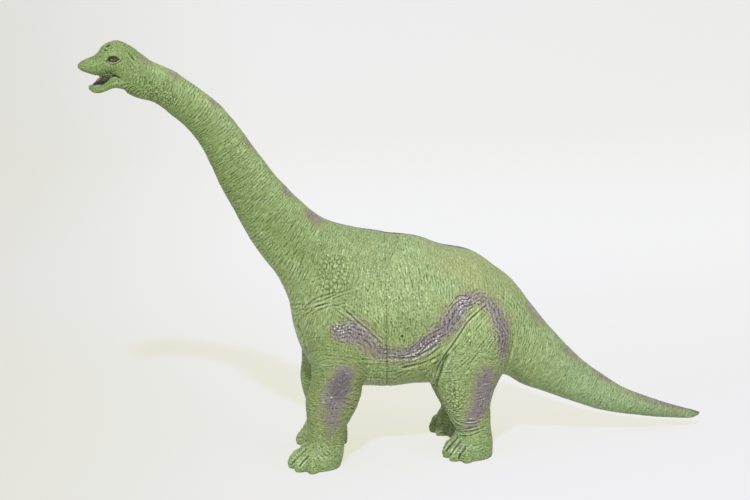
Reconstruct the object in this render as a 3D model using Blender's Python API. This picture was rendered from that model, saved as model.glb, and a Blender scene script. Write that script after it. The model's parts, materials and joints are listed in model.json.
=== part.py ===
# A soft vinyl figure of a long-necked dinosaur, standing on four feet.
# Two moulded skins, front and rear, plug together at the waist and are glued there.
# Polyester fibre fills the neck, trunk, legs and tail.
# The head points along -X, the left side faces -Y and the soles stand on Z = 0.

import bpy
import bmesh
from math import cos, pi, radians, sin
from mathutils import Vector

# Driving sizes of the trunk, neck, head and tail, in metres
belly_clearance = 0.058
torso_height = 0.1356
torso_width = 0.104
shoulder_length = 0.0805
hip_length = 0.130
neck_reach = 0.1185
neck_rise = 0.1383
neck_depth = 0.0612
neck_width = 0.056
head_length = 0.052
head_height = 0.042
head_width = 0.029
tail_reach = 0.154
tail_drop = 0.067
tail_depth = 0.0582
tail_width = 0.050

# Driving sizes of the legs and feet
leg_spacing = 0.066
foreleg_setting = 0.0485
foreleg_depth = 0.043
foreleg_width = 0.038
foreleg_stride = 0.0140
hindleg_setting = 0.068
hindleg_depth = 0.060
hindleg_width = 0.044
hindleg_stride = 0.001
foreleg_tuck = 0.009
toe_length = 0.021
toe_width = 0.0125
toe_height = 0.020
foretoe_reach = 0.0155
hindtoe_reach = 0.014
toe_spread = 0.0118

# The rounded corner where each leg grows out of the trunk
leg_blend_reach = 0.012
leg_blend_rise = 0.0042
leg_blend_floor = 0.030
leg_blend_least_share = 0.3

# The moulded wall, the glued joint and the filling
wall = 0.0025
sole_wall = 0.003
spigot_length = 0.008
glue_thickness = 0.0006
seat_gap = 0.0003
filling_gap = 0.0006
overrun = 0.004

# Mesh fineness
trunk_sides = 20
leg_sides = 14
toe_sides = 8
toe_rings = 5
jaw_sides = 12

# Rings of each end that stay solid, and rings of a leg above its filling
solid_nose_rings = 5
solid_tail_rings = 2
leg_root_rings = 2
filling_start_share = 0.08

# Rows run from the nose to the tail.
# Each one holds x, z, half depth and half width as shares, then its lean and its turn in degrees.
# A lean tips the section's top towards the tail, and a turn swings its right side that way.
head_shares = [
    (1.00, 0.275, 0.034, 0.080, 0, 0),
    (0.95, 0.280, 0.085, 0.205, 0, 0),
    (0.86, 0.285, 0.138, 0.300, 0, 0),
    (0.74, 0.290, 0.190, 0.355, 0, 0),
    (0.62, 0.355, 0.262, 0.390, 0, 0),
    (0.50, 0.415, 0.310, 0.430, 0, 0),
    (0.385, 0.370, 0.392, 0.480, 3, 0),
    (0.21, 0.180, 0.448, 0.480, 9, 0),
]
neck_shares = [
    (1.00, 1.00, 0.260, 0.250, 22, 0),
    (0.86, 0.945, 0.249, 0.243, 30, 0),
    (0.74, 0.866, 0.252, 0.250, 40, 0),
    (0.616, 0.777, 0.261, 0.259, 51, 0),
    (0.51, 0.669, 0.272, 0.271, 57, 0),
    (0.418, 0.531, 0.310, 0.304, 58, 0),
    (0.316, 0.372, 0.351, 0.340, 62, 0),
    (0.215, 0.242, 0.389, 0.375, 67, 0),
    (0.118, 0.120, 0.440, 0.430, 66, 0),
]
shoulder_shares = [
    (1.00, 0.514, 0.224, 0.269, 64, 0),
    (0.80, 0.408, 0.260, 0.317, 53, 0),
    (0.65, 0.305, 0.324, 0.385, 44, 0),
    (0.555, 0.178, 0.418, 0.442, 34, 1),
    (0.435, 0.078, 0.485, 0.481, 25, 3),
    (0.25, 0.027, 0.498, 0.495, 15, 6),
]
waist_shares = [
    (0.00, 0.000, 0.500, 0.500, 0, 9),
]
hip_shares = [
    (0.20, -0.009, 0.477, 0.500, 0, 7),
    (0.373, -0.040, 0.448, 0.490, 0, 4),
    (0.546, -0.053, 0.419, 0.466, 1, 2),
    (0.688, -0.099, 0.361, 0.413, 3, 0),
    (0.796, -0.152, 0.315, 0.351, 9, 0),
    (0.892, -0.242, 0.250, 0.288, 17, 0),
    (1.00, -0.343, 0.213, 0.240, 24, 0),
]
tail_shares = [
    (0.104, -0.190, 0.404, 0.410, 31, 0),
    (0.227, -0.391, 0.323, 0.330, 36, 0),
    (0.364, -0.567, 0.265, 0.270, 36, 0),
    (0.50, -0.724, 0.210, 0.216, 35, 0),
    (0.66, -0.843, 0.158, 0.164, 29, 0),
    (0.808, -0.933, 0.112, 0.116, 23, 0),
    (0.929, -0.987, 0.070, 0.076, 15, 0),
    (1.00, -1.000, 0.022, 0.026, 10, 0),
]
jaw_shares = [
    (0.85, -0.137, 0.038, 0.124, 0, 0),
    (0.78, -0.167, 0.073, 0.241, 0, 0),
    (0.68, -0.170, 0.082, 0.310, 0, 0),
    (0.56, -0.112, 0.097, 0.355, 0, 0),
    (0.442, -0.048, 0.113, 0.390, 0, 0),
    (0.31, -0.045, 0.155, 0.407, 0, 0),
    (0.173, -0.077, 0.188, 0.380, 0, 0),
]
tongue_shares = [
    (0.78, -0.085, 0.020, 0.110, 0, 0),
    (0.73, -0.065, 0.045, 0.180, 0, 0),
    (0.67, 0.000, 0.110, 0.215, 0, 0),
    (0.56, 0.050, 0.110, 0.270, 0, 0),
    (0.36, 0.060, 0.090, 0.300, 0, 0),
]

# Leg rows run from the root down to the sole.
# Each one holds height, x, half depth, half width and distance from the middle as shares.
foreleg_shares = [
    (1.00, 0.36, 0.42, 0.32, 0.91),
    (0.813, 0.29, 0.58, 0.47, 0.97),
    (0.647, 0.13, 0.60, 0.54, 0.985),
    (0.507, 0.02, 0.52, 0.526, 1.00),
    (0.413, -0.055, 0.53, 0.487, 1.00),
    (0.32, -0.13, 0.485, 0.447, 1.00),
    (0.227, -0.22, 0.384, 0.403, 1.00),
    (0.147, -0.267, 0.402, 0.408, 1.00),
    (0.067, -0.384, 0.465, 0.447, 1.00),
    (0.00, -0.407, 0.453, 0.434, 1.00),
]
hindleg_shares = [
    (1.00, 0.08, 0.21, 0.20, 0.58),
    (0.867, 0.13, 0.34, 0.40, 0.84),
    (0.747, 0.13, 0.43, 0.489, 0.97),
    (0.627, 0.058, 0.483, 0.50, 0.985),
    (0.513, -0.025, 0.50, 0.477, 1.00),
    (0.413, -0.075, 0.425, 0.432, 1.00),
    (0.313, -0.067, 0.342, 0.393, 1.00),
    (0.22, -0.017, 0.292, 0.352, 1.00),
    (0.153, 0.025, 0.258, 0.341, 1.00),
    (0.073, -0.015, 0.320, 0.386, 1.00),
    (0.00, -0.025, 0.325, 0.375, 1.00),
]
leg_root_share = 0.68
stride_height_share = 0.5
belly_fullness_share = 0.07
toe_angles = (-72, -36, 0, 36, 72)
toe_centre_share = 0.2

# The waist is the reference point while the figure is being made
waist_z = belly_clearance + torso_height / 2
leg_top = belly_clearance + leg_root_share * torso_height
glue_space = glue_thickness + 2 * seat_gap
spigot_inset = wall + glue_space
bore_inset = spigot_inset + wall
filling_foot = sole_wall + 2 * filling_gap
neck_root = shoulder_shares[0]
tail_root = hip_shares[-1]


def scaled_rows(shares, origin, reach, rise, depth, width):
    """Turn shares into rows of metres, with the angles in radians."""
    rows = []
    for x, z, half_depth, half_width, lean, turn in shares:
        place = (origin[0] + reach * x, origin[1] + rise * z)
        size = (depth * half_depth, width * half_width)
        rows.append((*place, *size, radians(lean), radians(turn)))
    return rows


def figure_rows():
    """Give the rows of the trunk from nose to tail, those of the jaw and tongue, and the waist's place."""
    waist = (0, waist_z)
    neck_base = (-shoulder_length * neck_root[0], waist_z + torso_height * neck_root[1])
    head_base = (neck_base[0] - neck_reach, neck_base[1] + neck_rise)
    tail_base = (hip_length * tail_root[0], waist_z + torso_height * tail_root[1])
    head_sizes = (head_base, -head_length, head_height, head_height, head_width)
    trunk_sizes = (torso_height, torso_height, torso_width)
    rows = scaled_rows(head_shares, *head_sizes)
    rows += scaled_rows(neck_shares, neck_base, -neck_reach, neck_rise, neck_depth, neck_width)
    rows += scaled_rows(shoulder_shares, waist, -shoulder_length, *trunk_sizes)
    waist_place = len(rows)
    rows += scaled_rows(waist_shares, waist, hip_length, *trunk_sizes)
    rows += scaled_rows(hip_shares, waist, hip_length, *trunk_sizes)
    rows += scaled_rows(tail_shares, tail_base, tail_reach, tail_drop, tail_depth, tail_width)
    jaw = scaled_rows(jaw_shares, *head_sizes)
    tongue = scaled_rows(tongue_shares, *head_sizes)
    return rows, jaw, tongue, waist_place


def blend_rows(first, second, share):
    """Give the row that lies a share of the way from one row to another."""
    return tuple(a + share * (b - a) for a, b in zip(first, second))


def with_halfway_rows(rows):
    """Add a row between each two, on a smooth curve through all of them."""
    smooth = [rows[0]]
    earlier = rows[:1] + rows
    later = rows[2:] + rows[-1:]
    for before, first, second, after in zip(earlier, rows, rows[1:], later):
        middle = blend_rows(first, second, 1 / 2)
        outer = blend_rows(before, after, 1 / 2)
        smooth.append(tuple(m + (m - o) / 8 for m, o in zip(middle, outer)))
        smooth.append(second)
    return smooth


def section(row, inset, sides):
    """Give one ring of points, drawn in from the row's own size by the inset."""
    x, z, half_depth, half_width, lean, turn = row
    centre = Vector((x, 0, z))
    up = Vector((sin(lean), 0, cos(lean)))
    right = Vector((sin(turn), cos(turn), 0))
    ring = []
    for step in range(sides):
        angle = 2 * pi * step / sides
        fullness = 1 - belly_fullness_share * sin(angle)
        across = right * (half_width - inset) * cos(angle) * fullness
        ring.append(centre + across + up * (half_depth - inset) * sin(angle))
    return ring


def leg_rows(shares, place, depth, width, stride, tuck):
    """Turn a leg's shares into rows of metres, with the foot set back by the stride and drawn in."""
    rows = []
    for height, x, half_depth, half_width, spread in shares:
        lag = max(0, 1 - height / stride_height_share)
        size = (depth * half_depth, width * half_width)
        middle = (place + depth * x + lag * stride, leg_top * height)
        rows.append((*middle, *size, spread * leg_spacing / 2 - lag * tuck))
    return rows


def leg_section(row, inset, side):
    """Give one level ring of a leg; side is -1 on the left and 1 on the right."""
    x, z, half_depth, half_width, spread = row
    ring = []
    for step in range(leg_sides):
        angle = 2 * pi * step / leg_sides
        along = x + (half_depth - inset) * cos(angle)
        across = side * spread + (half_width - inset) * sin(angle)
        ring.append(Vector((along, across, z)))
    return ring


def new_object(name, shape):
    """Make an object from a bmesh, with all its faces pointing out."""
    bmesh.ops.recalc_face_normals(shape, faces=shape.faces)
    mesh = bpy.data.meshes.new(name)
    shape.to_mesh(mesh)
    shape.free()
    thing = bpy.data.objects.new(name, mesh)
    bpy.context.scene.collection.objects.link(thing)
    return thing


def bridge(shape, first, second):
    """Join two rings with triangles, all cut along the same diagonal."""
    for step, (near, far) in enumerate(zip(first, second)):
        following = (step + 1) % len(first)
        shape.faces.new((near, first[following], second[following]))
        shape.faces.new((near, second[following], far))


def loft(name, rings):
    """Join rings of equal count into one closed solid with flat ends."""
    shape = bmesh.new()
    loops = [[shape.verts.new(point) for point in ring] for ring in rings]
    for first, second in zip(loops, loops[1:]):
        bridge(shape, first, second)
    shape.faces.new(loops[0])
    shape.faces.new(loops[-1])
    return new_object(name, shape)


def tube(name, outer_rings, inner_rings):
    """Join two rows of rings into one open tube with a thin wall."""
    shape = bmesh.new()
    loops = [[shape.verts.new(point) for point in ring] for ring in outer_rings + inner_rings[::-1]]
    for first, second in zip(loops, loops[1:] + loops[:1]):
        bridge(shape, first, second)
    return new_object(name, shape)


def toe(name, centre, angle):
    """Make one blunt toe, an egg shape that points out along its angle."""
    shape = bmesh.new()
    bmesh.ops.create_uvsphere(shape, u_segments=toe_sides, v_segments=toe_rings, radius=1 / 2)
    forward = Vector((-cos(angle), sin(angle), 0))
    across = Vector((sin(angle), cos(angle), 0))
    for vert in shape.verts:
        along, aside, up = vert.co
        vert.co = centre + forward * toe_length * along + across * toe_width * aside
        vert.co.z += toe_height * up
    return new_object(name, shape)


def box(name, low, high):
    """Make a plain block from its lowest to its highest corner."""
    shape = bmesh.new()
    bmesh.ops.create_cube(shape, size=1)
    for vert in shape.verts:
        vert.co = [l + (h - l) * (share + 1 / 2) for l, h, share in zip(low, high, vert.co)]
    return new_object(name, shape)


def combine(base, tools, operation):
    """Unite the tools with the base, or cut them from it, and remove them."""
    for tool in tools:
        modifier = base.modifiers.new(operation.lower(), "BOOLEAN")
        modifier.operation = operation
        modifier.solver = "EXACT"
        modifier.object = tool
    bpy.context.view_layer.update()
    evaluated = base.evaluated_get(bpy.context.evaluated_depsgraph_get())
    result = bpy.data.meshes.new_from_object(evaluated)
    base.modifiers.clear()
    base.data = result
    for tool in tools:
        bpy.data.objects.remove(tool)
    return base


def leg_pair_places(fore):
    """Give each leg's side and rows: the left leg steps ahead and the right one lags."""
    if fore:
        sizes = (foreleg_shares, -foreleg_setting, foreleg_depth, foreleg_width)
        right_step = (foreleg_stride, foreleg_tuck)
    else:
        sizes = (hindleg_shares, hindleg_setting, hindleg_depth, hindleg_width)
        right_step = (hindleg_stride, 0)
    left = (-1, leg_rows(*sizes, 0, 0))
    right = (1, leg_rows(*sizes, *right_step))
    return left, right


def leg_solids(name, side, rows, toe_reach):
    """Make one leg and its toes, which all run on below the floor until it cuts them."""
    rings = [leg_section(row, 0, side) for row in with_halfway_rows(rows)]
    rings.append([point - Vector((0, 0, overrun)) for point in rings[-1]])
    solids = [loft(name, rings)]
    foot_x, _, _, _, spread = rows[-1]
    for number, degrees in enumerate(toe_angles):
        angle = radians(degrees)
        centre = Vector((foot_x, side * spread, toe_centre_share * toe_height))
        centre += Vector((-cos(angle) * toe_reach, sin(angle) * toe_spread, 0))
        solids.append(toe(f"{name}_toe_{number}", centre, angle))
    return solids


def blend_legs(skin, waist):
    """Lift the skin round the inner corners between the legs and the trunk, but not at the waist."""
    turn = waist[-1]
    waist_axis = Vector((cos(turn), -sin(turn), 0))
    shape = bmesh.new()
    shape.from_mesh(skin.data)
    corners = []
    for edge in shape.edges:
        middle = (edge.verts[0].co + edge.verts[1].co) / 2
        depth = sin(-edge.calc_face_angle_signed())
        inner = depth > leg_blend_least_share and leg_blend_floor < middle.z < leg_top
        if inner and abs(middle @ waist_axis) > overrun:
            corners += [(point.copy(), depth) for point in (edge.verts[0].co, middle, edge.verts[1].co)]
    lifts = {}
    for vert in shape.verts:
        from_waist = abs(vert.co @ waist_axis)
        near = [((vert.co - corner).length, depth) for corner, depth in corners]
        share = max(depth * max(0, 1 - gap / leg_blend_reach)**2 for gap, depth in near)
        if share > 0 and from_waist > seat_gap:
            lifts[vert] = vert.normal * leg_blend_rise * share * min(1, from_waist / leg_blend_reach)
    moving = {face for vert in lifts for face in vert.link_faces}
    bmesh.ops.triangulate(shape, faces=[face for face in shape.faces if face in moving])
    for vert, lift in lifts.items():
        vert.co += lift
    shape.to_mesh(skin.data)
    shape.free()


def leg_hollow(name, side, rows):
    """Make the cavity of one leg, closed above the sole and open into the trunk."""
    hollow = [row for row in rows[1:] if row[1] > sole_wall]
    rings = [leg_section(row, wall, side) for row in hollow]
    rings.append([Vector((point.x, point.y, sole_wall)) for point in rings[-1]])
    return loft(name, rings)


def floor_cutter():
    """Make the block of floor that cuts the soles flat."""
    reach = shoulder_length + neck_reach + head_length + hip_length + tail_reach
    low = (-reach, -torso_width, -toe_height)
    high = (reach, torso_width, 0)
    return box("floor_cutter", low, high)


def material(name, kind):
    """Make a plain non-metal finish for vinyl, glue or fibre."""
    looks = {
        "vinyl": ((0.32, 0.47, 0.15), 0.5),
        "glue": ((0.62, 0.52, 0.33), 0.3),
        "fibre": ((0.83, 0.83, 0.80), 0.9),
    }
    colour, roughness = looks[kind]
    finish = bpy.data.materials.new(name)
    finish.use_nodes = True
    shader = finish.node_tree.nodes["Principled BSDF"]
    shader.inputs["Base Color"].default_value = (*colour, 1)
    shader.inputs["Roughness"].default_value = roughness
    shader.inputs["Metallic"].default_value = 0
    finish.diffuse_color = (*colour, 1)
    return finish


def finish_piece(thing, kind):
    """Name the mesh after its object, shade it smooth and give it a finish of its own."""
    thing.data.name = thing.name
    thing.data.materials.clear()
    thing.data.materials.append(material(thing.name, kind))
    thing.data.shade_smooth()
    thing.data.set_sharp_from_angle(angle=radians(50))
    return thing


def front_skin(rows, jaw, tongue, waist_place):
    """Make the head, neck, chest and forelegs, with the spigot that plugs into the rear skin."""
    waist = rows[waist_place]
    nose_to_waist = rows[:waist_place + 1]
    smooth_rows = with_halfway_rows(rows)[:2 * waist_place + 1]
    rings = [section(row, 0, trunk_sides) for row in smooth_rows]
    spigot_end = spigot_row(rows, waist_place, spigot_length)
    rings += [section(row, spigot_inset, trunk_sides) for row in (waist, spigot_end)]
    skin = loft("front_skin", rings)
    added = [loft("jaw", [section(row, 0, jaw_sides) for row in with_halfway_rows(jaw)])]
    added.append(loft("tongue", [section(row, 0, jaw_sides) for row in tongue]))
    hollow = nose_to_waist[solid_nose_rings:-1]
    rings = [section(row, wall, trunk_sides) for row in hollow]
    beyond = spigot_row(rows, waist_place, spigot_length + overrun)
    rings += [section(row, bore_inset, trunk_sides) for row in (waist, beyond)]
    removed = [floor_cutter(), loft("front_hollow", rings)]
    for side, leg in leg_pair_places(fore=True):
        added += leg_solids(f"foreleg_{side}", side, leg, foretoe_reach)
        removed.append(leg_hollow(f"foreleg_hollow_{side}", side, leg))
    blend_legs(combine(skin, added, "UNION"), waist)
    return combine(skin, removed, "DIFFERENCE")


def rear_skin(rows, waist_place):
    """Make the belly, hips, hind legs and tail, open at the waist."""
    smooth_rows = with_halfway_rows(rows)[2 * waist_place:]
    skin = loft("rear_skin", [section(row, 0, trunk_sides) for row in smooth_rows])
    hollow = rows[waist_place:-solid_tail_rings]
    ahead = spigot_row(rows, waist_place, -overrun)
    rings = [section(row, wall, trunk_sides) for row in [ahead] + hollow]
    added = []
    removed = [floor_cutter(), loft("rear_hollow", rings)]
    for side, leg in leg_pair_places(fore=False):
        added += leg_solids(f"hindleg_{side}", side, leg, hindtoe_reach)
        removed.append(leg_hollow(f"hindleg_hollow_{side}", side, leg))
    blend_legs(combine(skin, added, "UNION"), rows[waist_place])
    return combine(skin, removed, "DIFFERENCE")


def spigot_row(rows, waist_place, distance):
    """Give the row at a distance behind the waist, in line with the rear skin's first row."""
    waist = rows[waist_place]
    behind = rows[waist_place + 1]
    return blend_rows(waist, behind, distance / (behind[0] - waist[0]))


def waist_glue(rows, waist_place):
    """Make the ring of glue between the spigot and the rear skin."""
    ends = [spigot_row(rows, waist_place, distance) for distance in (seat_gap, spigot_length)]
    outer = [section(row, wall + seat_gap, trunk_sides) for row in ends]
    inner = [section(row, wall + seat_gap + glue_thickness, trunk_sides) for row in ends]
    return tube("waist_glue", outer, inner)


def trunk_filling(name, rows, inset):
    """Make one wad of fibre that fills a length of the trunk, neck or tail."""
    return loft(name, [section(row, inset, trunk_sides) for row in rows])


def leg_filling(name, side, leg, rows):
    """Make one leg's wad of fibre, drawn in where the trunk's own filling passes it."""
    middle = [row for row in leg[leg_root_rings:] if row[1] > filling_foot]
    wad = loft(name, [leg_section(row, wall + filling_gap, side) for row in middle])
    trunk = loft("trunk_space", [section(row, wall, trunk_sides) for row in rows])
    return combine(wad, [trunk], "DIFFERENCE")


def build_figure():
    """Make every piece of the figure at its place."""
    for thing in list(bpy.data.objects):
        bpy.data.objects.remove(thing)
    rows, jaw, tongue, waist_place = figure_rows()
    neck_end = len(head_shares) + len(neck_shares)
    tail_start = waist_place + len(hip_shares)
    pieces = [
        finish_piece(front_skin(rows, jaw, tongue, waist_place), "vinyl"),
        finish_piece(rear_skin(rows, waist_place), "vinyl"),
        finish_piece(waist_glue(rows, waist_place), "glue"),
    ]
    inset = wall + filling_gap
    bore = bore_inset + filling_gap
    neck = rows[solid_nose_rings + 1:neck_end + 1]
    chest = [blend_rows(rows[neck_end], rows[neck_end + 1], filling_start_share)]
    chest += rows[neck_end + 1:waist_place]
    spigot_end = spigot_row(rows, waist_place, spigot_length)
    behind_spigot = spigot_row(rows, waist_place, spigot_length + filling_gap)
    hips = [behind_spigot] + rows[waist_place + 1:tail_start + 1]
    tail = [blend_rows(rows[tail_start], rows[tail_start + 1], filling_start_share)]
    tail += rows[tail_start + 1:-solid_tail_rings - 1]
    chest_rings = [section(row, inset, trunk_sides) for row in chest]
    chest_rings += [section(row, bore, trunk_sides) for row in (rows[waist_place], spigot_end)]
    wads = [
        trunk_filling("neck_filling", neck, inset),
        loft("chest_filling", chest_rings),
        trunk_filling("hip_filling", hips, inset),
        trunk_filling("tail_filling", tail, inset),
    ]
    chest_space = rows[neck_end:waist_place + 2]
    hip_space = rows[waist_place:tail_start + 1]
    for place, space, fore in (("foreleg", chest_space, True), ("hindleg", hip_space, False)):
        for side, leg in leg_pair_places(fore):
            hand = "left" if side < 0 else "right"
            wads.append(leg_filling(f"{hand}_{place}_filling", side, leg, space))
    pieces += [finish_piece(wad, "fibre") for wad in wads]
    centre_on_floor(pieces)


def centre_on_floor(pieces):
    """Set the origin on the floor, below the middle of the whole figure."""
    corners = [vert.co for piece in pieces for vert in piece.data.vertices]
    shift = Vector((0, 0, 0))
    for axis in (0, 1):
        values = [corner[axis] for corner in corners]
        shift[axis] = -(min(values) + max(values)) / 2
    for piece in pieces:
        for vert in piece.data.vertices:
            vert.co += shift


build_figure()
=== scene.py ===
# A large soft vinyl toy dinosaur, moulded in two skins, filled with fibre and sprayed by hand.
import json
from math import cos, radians, sin

import bmesh
import bpy
import numpy as np
from mathutils import Matrix, Vector
from mathutils.bvhtree import BVHTree

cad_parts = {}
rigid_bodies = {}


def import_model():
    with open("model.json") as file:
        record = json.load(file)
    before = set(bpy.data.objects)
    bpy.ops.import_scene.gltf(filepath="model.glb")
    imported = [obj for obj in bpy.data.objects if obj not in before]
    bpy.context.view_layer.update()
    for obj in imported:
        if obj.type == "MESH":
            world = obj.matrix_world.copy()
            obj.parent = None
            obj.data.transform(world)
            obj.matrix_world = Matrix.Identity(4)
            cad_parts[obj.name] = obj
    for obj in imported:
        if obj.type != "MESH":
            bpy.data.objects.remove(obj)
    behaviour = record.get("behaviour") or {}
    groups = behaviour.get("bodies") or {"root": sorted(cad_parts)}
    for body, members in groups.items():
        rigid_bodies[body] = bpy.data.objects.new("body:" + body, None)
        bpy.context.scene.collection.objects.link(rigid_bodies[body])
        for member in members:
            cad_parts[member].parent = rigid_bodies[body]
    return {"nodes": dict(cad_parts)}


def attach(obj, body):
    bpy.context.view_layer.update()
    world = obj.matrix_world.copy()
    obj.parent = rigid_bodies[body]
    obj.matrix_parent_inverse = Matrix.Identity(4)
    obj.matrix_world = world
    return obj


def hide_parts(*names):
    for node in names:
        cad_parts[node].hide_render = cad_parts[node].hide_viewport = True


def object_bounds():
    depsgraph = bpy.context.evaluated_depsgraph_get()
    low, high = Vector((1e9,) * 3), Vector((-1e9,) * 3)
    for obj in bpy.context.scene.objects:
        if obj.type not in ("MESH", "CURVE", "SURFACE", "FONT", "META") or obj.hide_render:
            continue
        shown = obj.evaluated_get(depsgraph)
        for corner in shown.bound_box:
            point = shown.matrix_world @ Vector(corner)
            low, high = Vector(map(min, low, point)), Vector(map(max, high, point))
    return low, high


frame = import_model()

for thing in list(bpy.data.objects):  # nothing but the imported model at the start
    if thing.type != "EMPTY" and thing.name not in frame["nodes"]:
        bpy.data.objects.remove(thing)
cadLow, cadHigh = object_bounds()
print("frame: loaded", len(frame["nodes"]), "nodes")


def newObject(name, data):
    thing = bpy.data.objects.new(name, data)
    bpy.context.scene.collection.objects.link(thing)
    return thing


# camera, first, because features are placed by where it sees them
cameraSetup = {
    "target": (-0.0255, 0.0, 0.1788),
    "azimuth": -9.0,
    "elevation": 14.0,
    "distance": 1.6,
    "roll": -0.8,
    "lens": 90.0,
    "sensor": 36.0,
    "picture": (750, 500),
}


def cameraAxes(setup):
    azimuth, elevation, roll = (radians(setup[key]) for key in ("azimuth", "elevation", "roll"))
    back = np.array([sin(azimuth) * cos(elevation), -cos(azimuth) * cos(elevation), sin(elevation)])
    level = np.cross(-back, (0, 0, 1))
    level /= np.linalg.norm(level)
    upright = np.cross(level, -back)
    right = cos(roll) * level + sin(roll) * upright
    up = -sin(roll) * level + cos(roll) * upright
    return np.array(setup["target"]) + back * setup["distance"], right, up, back


cameraPlace, cameraRight, cameraUp, cameraBack = cameraAxes(cameraSetup)


def makeCamera(setup):
    lens = bpy.data.cameras.new("photoCamera")
    lens.lens = setup["lens"]
    lens.sensor_width = setup["sensor"]
    lens.clip_end = 50
    camera = newObject("photoCamera", lens)
    turn = Matrix([cameraRight, cameraUp, cameraBack]).transposed().to_4x4()
    camera.matrix_world = Matrix.Translation(Vector(cameraPlace)) @ turn
    bpy.context.scene.camera = camera


makeCamera(cameraSetup)


def seenAt(places):  # pixel of the photograph for each point of the figure's left side
    zoom = cameraSetup["lens"] / cameraSetup["sensor"] * cameraSetup["picture"][0]
    offset = places - cameraPlace
    depth = -offset @ cameraBack
    across = cameraSetup["picture"][0] / 2 + zoom * (offset @ cameraRight) / depth
    down = cameraSetup["picture"][1] / 2 - zoom * (offset @ cameraUp) / depth
    return np.stack([across, down], 1)


# the figure's own form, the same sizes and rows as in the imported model
form = {
    "bellyClearance": 0.058, "torsoHeight": 0.1356, "torsoWidth": 0.104,
    "shoulderLength": 0.0805, "hipLength": 0.130,
    "neckReach": 0.1185, "neckRise": 0.1383, "neckDepth": 0.0612, "neckWidth": 0.056,
    "headLength": 0.052, "headHeight": 0.042, "headWidth": 0.029,
    "tailReach": 0.154, "tailDrop": 0.067, "tailDepth": 0.0582, "tailWidth": 0.050,
    "legSpacing": 0.066, "legRoot": 0.68, "strideHeight": 0.5, "fullness": 0.07,
    "toeLength": 0.021, "toeWidth": 0.0125, "toeHeight": 0.020, "toeSpread": 0.0118, "toeCentre": 0.2,
    "toeAngles": (-72, -36, 0, 36, 72), "toeTip": 0.02, "betweenLegs": 0.01,
    "wall": 0.0025, "soleWall": 0.003, "glueSpace": 0.0012, "spigot": 0.008,
    "rowSteps": 3, "trunkSides": 72, "legSides": 48, "jawSides": 48, "toeRings": 22, "toeSides": 28,
    "cadSides": 20,
}
foreleg = {"setting": -0.0485, "depth": 0.043, "width": 0.038, "toeReach": 0.0155,
           "stride": 0.0140, "tuck": 0.009}
hindleg = {"setting": 0.068, "depth": 0.060, "width": 0.044, "toeReach": 0.014,
           "stride": 0.001, "tuck": 0.0}

# rows hold x, z, half depth and half width as shares, then lean and turn in degrees
headRows = [
    (1.00, 0.275, 0.034, 0.080, 0, 0), (0.95, 0.280, 0.085, 0.205, 0, 0),
    (0.86, 0.285, 0.138, 0.300, 0, 0), (0.74, 0.290, 0.190, 0.355, 0, 0),
    (0.62, 0.355, 0.262, 0.390, 0, 0), (0.50, 0.415, 0.310, 0.430, 0, 0),
    (0.385, 0.370, 0.392, 0.480, 3, 0), (0.21, 0.180, 0.448, 0.480, 9, 0),
]
neckRows = [
    (1.00, 1.00, 0.260, 0.250, 22, 0), (0.86, 0.945, 0.249, 0.243, 30, 0),
    (0.74, 0.866, 0.252, 0.250, 40, 0), (0.616, 0.777, 0.261, 0.259, 51, 0),
    (0.51, 0.669, 0.272, 0.271, 57, 0), (0.418, 0.531, 0.310, 0.304, 58, 0),
    (0.316, 0.372, 0.351, 0.340, 62, 0), (0.215, 0.242, 0.389, 0.375, 67, 0),
    (0.118, 0.120, 0.440, 0.430, 66, 0),
]
shoulderRows = [
    (1.00, 0.514, 0.224, 0.269, 64, 0), (0.80, 0.408, 0.260, 0.317, 53, 0),
    (0.65, 0.305, 0.324, 0.385, 44, 0), (0.555, 0.178, 0.418, 0.442, 34, 1),
    (0.435, 0.078, 0.485, 0.481, 25, 3), (0.25, 0.027, 0.498, 0.495, 15, 6),
]
waistRows = [(0.00, 0.000, 0.500, 0.500, 0, 9)]
hipRows = [
    (0.20, -0.009, 0.477, 0.500, 0, 7), (0.373, -0.040, 0.448, 0.490, 0, 4),
    (0.546, -0.053, 0.419, 0.466, 1, 2), (0.688, -0.099, 0.361, 0.413, 3, 0),
    (0.796, -0.152, 0.315, 0.351, 9, 0), (0.892, -0.242, 0.250, 0.288, 17, 0),
    (1.00, -0.343, 0.213, 0.240, 24, 0),
]
tailRows = [
    (0.104, -0.190, 0.404, 0.410, 31, 0), (0.227, -0.391, 0.323, 0.330, 36, 0),
    (0.364, -0.567, 0.265, 0.270, 36, 0), (0.50, -0.724, 0.210, 0.216, 35, 0),
    (0.66, -0.843, 0.158, 0.164, 29, 0), (0.808, -0.933, 0.112, 0.116, 23, 0),
    (0.929, -0.987, 0.070, 0.076, 15, 0), (1.00, -1.000, 0.022, 0.026, 10, 0),
]
jawRows = [
    (0.85, -0.137, 0.038, 0.124, 0, 0), (0.78, -0.167, 0.073, 0.241, 0, 0),
    (0.68, -0.170, 0.082, 0.310, 0, 0), (0.56, -0.112, 0.097, 0.355, 0, 0),
    (0.442, -0.048, 0.113, 0.390, 0, 0), (0.31, -0.045, 0.155, 0.407, 0, 0),
    (0.173, -0.077, 0.188, 0.380, 0, 0),
]
tongueRows = [
    (0.78, -0.085, 0.020, 0.110, 0, 0), (0.73, -0.065, 0.045, 0.180, 0, 0),
    (0.67, 0.000, 0.110, 0.215, 0, 0), (0.56, 0.050, 0.110, 0.270, 0, 0),
    (0.36, 0.060, 0.090, 0.300, 0, 0),
]
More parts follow.
